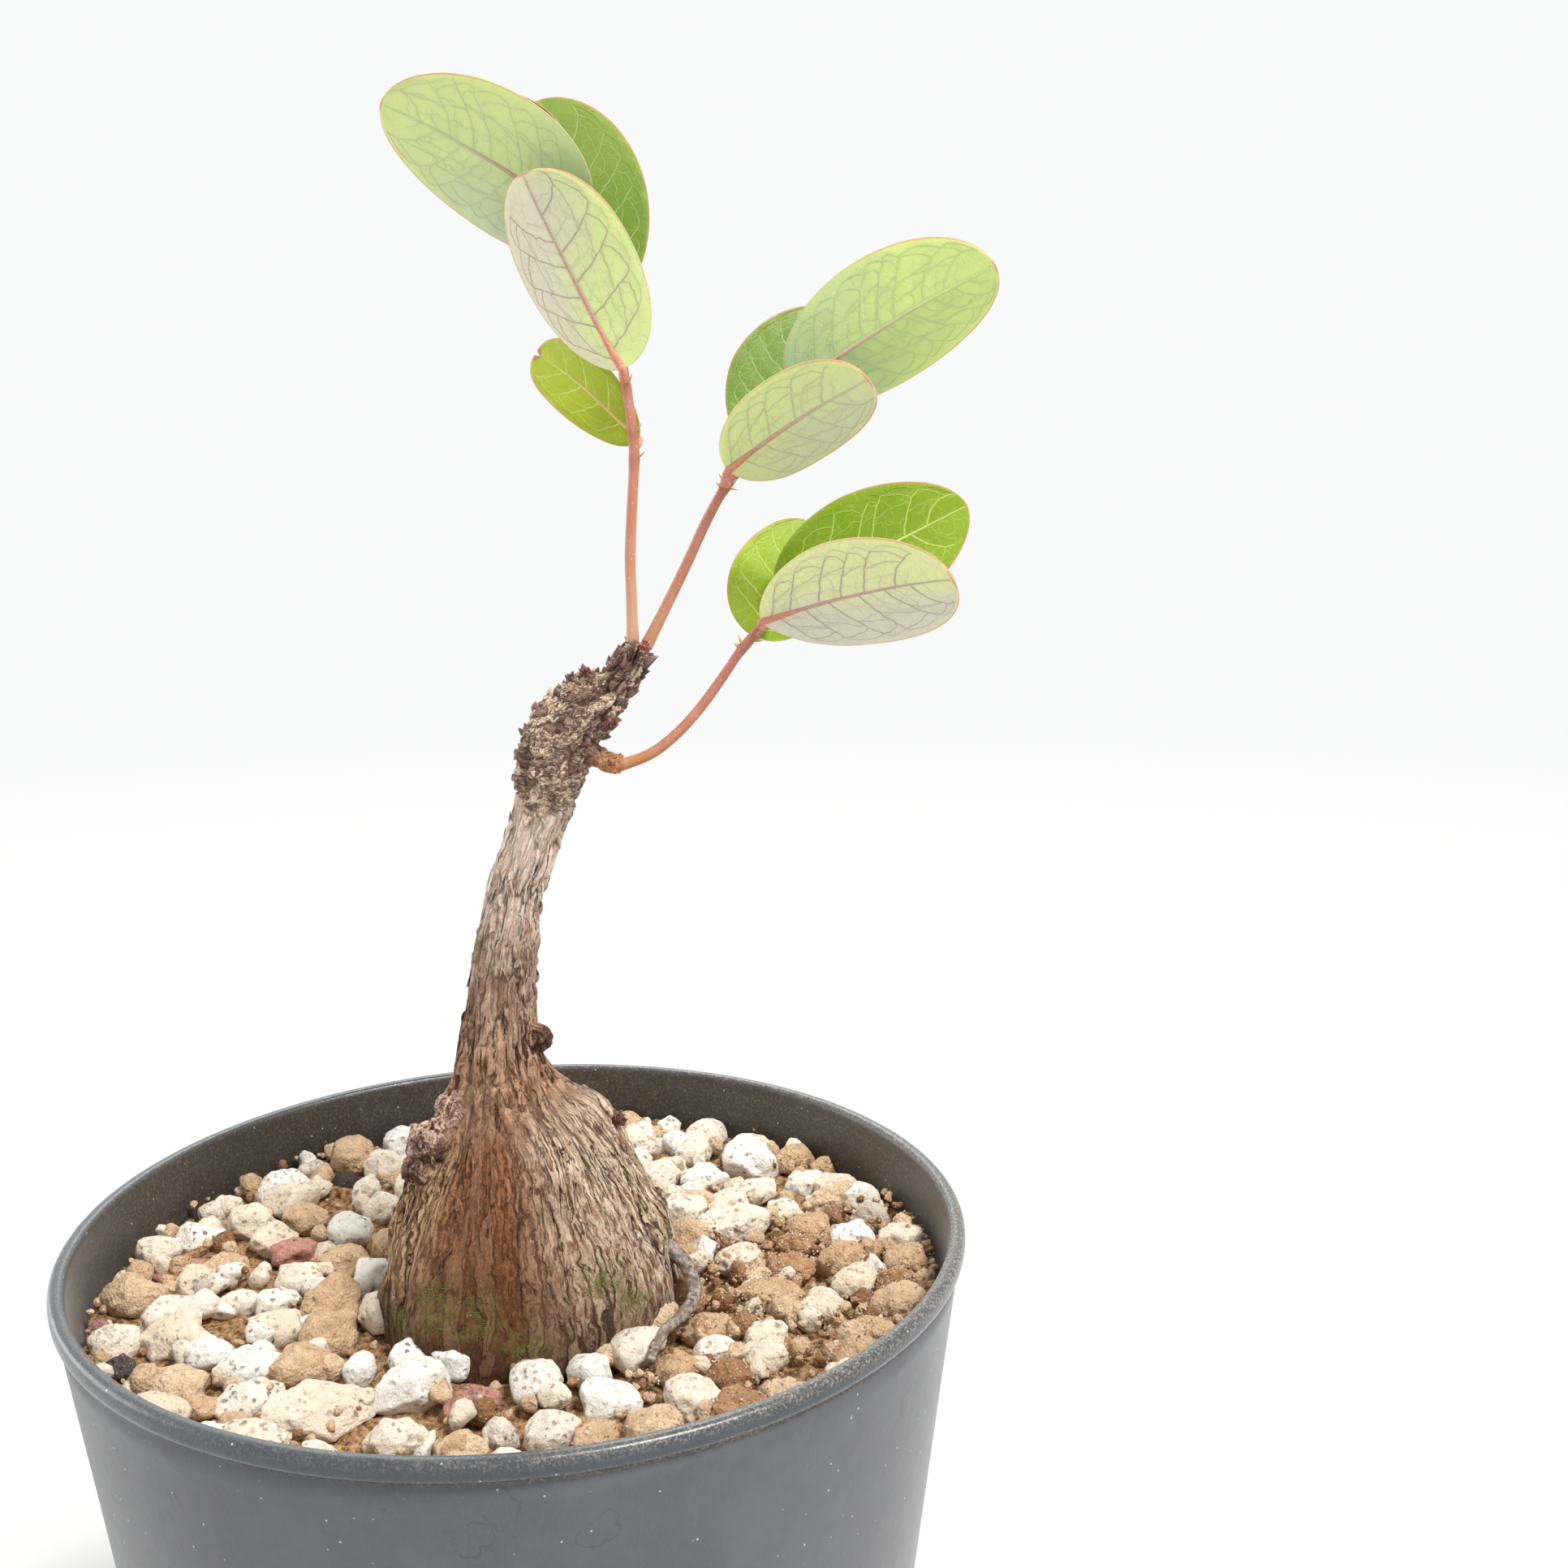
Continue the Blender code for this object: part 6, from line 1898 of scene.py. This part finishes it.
def puckered(middle, out, strong_lines):
    """Swells a blade a little between its side veins."""
    gap = np.sqrt(((middle[:, None] - strong_lines[None]) ** 2).sum(axis=2)).min(axis=1)
    return middle + out * PUCKER * (1.0 - np.exp(-((gap / 1.1) ** 2)))[:, None]


def vein_tube(leaf, path, widths, rise_upper, rise_under, strong_lines):
    """A ridge that runs through the blade and stands out of both faces. Upper faces come first."""
    share, side = np.clip(path[:, 0], 0.0, 0.995), np.clip(path[:, 1], -0.97, 0.97)
    middle, out = blade_points(leaf, share, side)
    middle = puckered(middle, out, strong_lines)
    ahead = unit(np.gradient(middle, axis=0))
    lateral = unit(np.cross(ahead, out))
    half = BLADE_THICKNESS / 2 + 0.010
    corners = [(-1, -half), (0, -half - rise_under), (1, -half)]
    corners += [(1, half), (0, half + rise_upper), (-1, half)]
    wide = lateral * np.broadcast_to(widths, len(path))[:, None]
    rings = [middle + wide * a + out * np.reshape(b, (-1, 1)) for a, b in corners]
    points = np.stack(rings, axis=1).reshape(-1, 3)
    capped, faces = closed_rings(points, [VEIN_SIDES] * len(middle))
    corner = np.where(faces < len(points), faces % VEIN_SIDES, 0)
    return capped, faces, ((corner >= 3).sum(axis=1) >= 2).astype(int)


def blade_faces(last):
    """The triangles of one face of a blade from its base corner, 0, to its tip corner, and its rim."""
    k = np.arange(BLADE_COLUMNS - 1)
    faces = [np.column_stack([np.zeros_like(k), k + 2, k + 1])]
    for row in range(BLADE_ROWS - 3):
        a = 1 + row * BLADE_COLUMNS + k
        b = a + BLADE_COLUMNS
        faces.append(quads(a, a + 1, b + 1, b))
    end = last - BLADE_COLUMNS + k
    faces.append(np.column_stack([np.full_like(k, last), end, end + 1]))
    rim = [0, *range(BLADE_COLUMNS, last, BLADE_COLUMNS), last]
    return np.vstack(faces), rim + [*range(last - BLADE_COLUMNS, 0, -BLADE_COLUMNS)]


def blade_sheet(leaf, strong_lines):
    """The blade as a thin closed solid with look values, and which faces are its upper ones."""
    shares = 0.5 - 0.5 * np.cos(np.linspace(0.0, np.pi, BLADE_ROWS))
    sides = np.sin(np.linspace(-np.pi / 2, np.pi / 2, BLADE_COLUMNS))
    share = np.concatenate([[0.0], np.repeat(shares[1:-1], BLADE_COLUMNS), [1.0]])
    side = np.concatenate([[0.0], np.tile(sides, BLADE_ROWS - 2), [0.0]])
    middle, out = blade_points(leaf, share, side)
    middle = puckered(middle, out, strong_lines)
    half = BLADE_THICKNESS * (0.22 + 0.78 * (1.0 - np.abs(side) ** 10))[:, None] / 2
    points = np.vstack([middle + out * half, middle - out * half])
    count = len(share)
    faces, rim = blade_faces(count - 1)
    rim, ahead = np.array(rim), np.array(rim[1:] + rim[:1])
    strip = quads(rim, rim + count, ahead + count, ahead)
    a, b, c = points[faces[len(faces) // 2]]
    if np.cross(b - a, c - a).dot(out[faces[len(faces) // 2][0]]) < 0:
        faces, strip = faces[:, ::-1], strip[:, ::-1]
    kinds = np.repeat([0, 1], [len(faces), len(faces) + len(strip)])
    to_side = (1.0 - np.abs(side)) * blade_reach(leaf, share)
    to_tip = 0.9 * (1.0 - share) * blade_length(leaf) + 0.02
    look = np.column_stack([share, side, np.minimum(to_side, to_tip)])
    return points, np.vstack([faces, faces[:, ::-1] + count, strip]), kinds, np.vstack([look, look])


def make_leaf(leaf, number):
    """The blade with its veins standing out, and the stalk."""
    chance = random.Random(SEED + 100 + number)
    veins = vein_paths(leaf, chance)
    strong_lines = np.vstack([blade_points(leaf, *path.T)[0] for path, _, thin in veins if thin < 0.5])
    shape = Shape()
    shape.add(*blade_sheet(leaf, strong_lines))
    for path, widths, thin in veins:
        share = path[:, 0]
        rise_under = 0.18 * (1.0 - share) ** 1.5 + 0.01 if thin == 0.0 else 0.009 - 0.004 * thin
        rise_upper = 0.05 * (1.0 - share) + 0.02 if thin == 0.0 else 0.014 - 0.006 * thin
        points, faces, upper = vein_tube(leaf, path, widths, rise_upper, rise_under, strong_lines)
        look = rod_looks(looks(len(path), share, thin, path[:, 1]), VEIN_SIDES)
        shape.add(points, faces, 3 - upper, look, smooth=thin == 0.0)
    add_stalk(shape, leaf)
    shape.build(leaf.name + "_blade", leaf_materials(leaf), "leaf", leaf.name)


def add_stalk(shape, leaf):
    """The leaf's stalk: from inside the stem to the foot of the midrib, under the blade."""
    under = -blade_frame(leaf)[2]
    stem = next(route for name, route in STEM_ROUTES.items() if name.split("_")[1] in leaf.name)
    line = spline_points(stem, STEM_STEPS)
    start = line[nearest(line, leaf.root)]
    inside, _ = blade_points(leaf, np.array([0.03, 0.10, 0.20, 0.30]), np.zeros(4))
    knots = [start, np.array(leaf.root), np.array(leaf.base) + under * 0.2, *(inside + under * 0.12)]
    path = spline_points(knots, 8)
    share = line_run(path) / line_run(path)[-1]
    radii = np.interp(share, [0.0, 0.25, 0.5, 1.0], [0.50, 0.44, 0.38, 0.08])
    look = rod_looks(looks(len(path), 0.0, 0.1, share), STALK_SIDES)
    shape.add(*sweep(path, radii, STALK_SIDES), 4, look)


def face_look(row):
    """A row of FACE_LOOKS with its colours as linear light."""
    faint, main, second, drift, vein, rib = row
    return FaceLook(faint, srgb(*main), srgb(*second), drift, srgb(*vein), srgb(*rib))


def leaf_materials(leaf):
    """Upper and under face, their veins, and the stalk."""
    own_side, *own = LEAF_LOOKS[leaf.name]
    faces, ribs = [], []
    for side, gloss in (("upper", 0.36), ("under", 0.52)):
        name = leaf.name + "_" + side
        look = face_look(own if side == own_side else FACE_LOOKS[side])
        margin = look.second if side == "upper" else srgb(216, 216, 140)
        faces.append(leaf_face_material(name, look, margin, srgb(206, 120, 112), gloss))
        ribs.append(vein_material(name + "_vein", look))
    return [*faces, *ribs, stalk_material(leaf.name + "_stalk")]


# Stage

def make_camera():
    """The photograph's view: a long lens that looks down a little and is turned slightly."""
    pitch, roll = CAMERA_PITCH, CAMERA_ROLL
    forward = Vector((0.0, math.cos(pitch), -math.sin(pitch)))
    level = Vector((0.0, math.sin(pitch), math.cos(pitch)))
    right = Vector((1.0, 0.0, 0.0)) * math.cos(roll) + level * math.sin(roll)
    up = level * math.cos(roll) - Vector((1.0, 0.0, 0.0)) * math.sin(roll)
    turned = Matrix((right, up, -forward)).transposed()
    data = bpy.data.cameras.new("camera")
    data.sensor_width = SENSOR
    data.lens = LENS
    data.clip_start, data.clip_end = 0.01, 50.0
    camera = show(bpy.data.objects.new("camera", data))
    camera.matrix_world = Matrix.Translation(Vector(CAMERA_PLACE) * MM) @ turned.to_4x4()
    bpy.context.scene.camera = camera


def make_floor():
    """A wide pale floor that meets the background at the horizon."""
    half = 25.0
    corners = [(-half, -half, 0.0), (half, -half, 0.0), (half, half, 0.0), (-half, half, 0.0)]
    mesh = bpy.data.meshes.new("studio_floor")
    mesh.from_pydata(corners, [], [(0, 1, 2, 3)])
    n = Nodes("floor_paper", Specular_IOR_Level=0.0, Emission_Color=HORIZON)
    here = n.here()
    cloud = n.noise(here, 0.004, 3.0)
    paper = n.mix(cloud, (0.54, 0.545, 0.54, 1.0), (0.56, 0.56, 0.555, 1.0))
    far = n.rise(n.add("VectorMath", {0: here}, operation="LENGTH").outputs["Value"], 250.0, 900.0)
    n.put(n.shader.inputs["Emission Strength"], far)
    mesh.materials.append(n.finish(n.mix(far, paper, (0.0, 0.0, 0.0, 1.0)), 0.95))
    studio_floor = show(bpy.data.objects.new("studio_floor", mesh))


def make_light():
    """Even light from all round, and three suns: from the front right, the left, and weakly from behind."""
    world = bpy.data.worlds.new("studio")
    world.use_nodes = True
    tree = world.node_tree
    coords = tree.nodes.new("ShaderNodeTexCoord")
    parts = tree.nodes.new("ShaderNodeSeparateXYZ")
    ramp = tree.nodes.new("ShaderNodeValToRGB")
    ramp.color_ramp.elements[0].position = 0.22
    ramp.color_ramp.elements[0].color = HORIZON
    ramp.color_ramp.elements[1].position = 0.8
    ramp.color_ramp.elements[1].color = SKY
    tree.links.new(coords.outputs["Generated"], parts.inputs[0])
    tree.links.new(parts.outputs["Z"], ramp.inputs[0])
    tree.links.new(ramp.outputs[0], tree.nodes["Background"].inputs["Color"])
    bpy.context.scene.world = world
    for name, way, strength, spread in SUNS:
        data = bpy.data.lights.new(name, "SUN")
        data.angle = math.radians(spread)
        data.energy = strength
        data.color = SUN_COLOUR
        sun = show(bpy.data.objects.new(name, data))
        sun.rotation_mode = "QUATERNION"
        sun.rotation_quaternion = Vector(way).to_track_quat("-Z", "Y")
    bpy.context.scene.view_settings.view_transform = "Standard"


BARK = bark_material()
make_camera()
make_pot()
make_core()
make_stones()
bark_points, bark_ways, bark_moss = make_trunk()
make_bud_scales(bark_points, bark_ways)
make_bark_flakes(bark_points, bark_ways)
make_spur()
make_root()
make_moss(bark_points, bark_ways, bark_moss)
for stem_name in STEM_ROUTES:
    make_stem(stem_name)
for leaf_number, one_leaf in enumerate(LEAVES):
    make_leaf(one_leaf, leaf_number)
make_floor()
make_light()
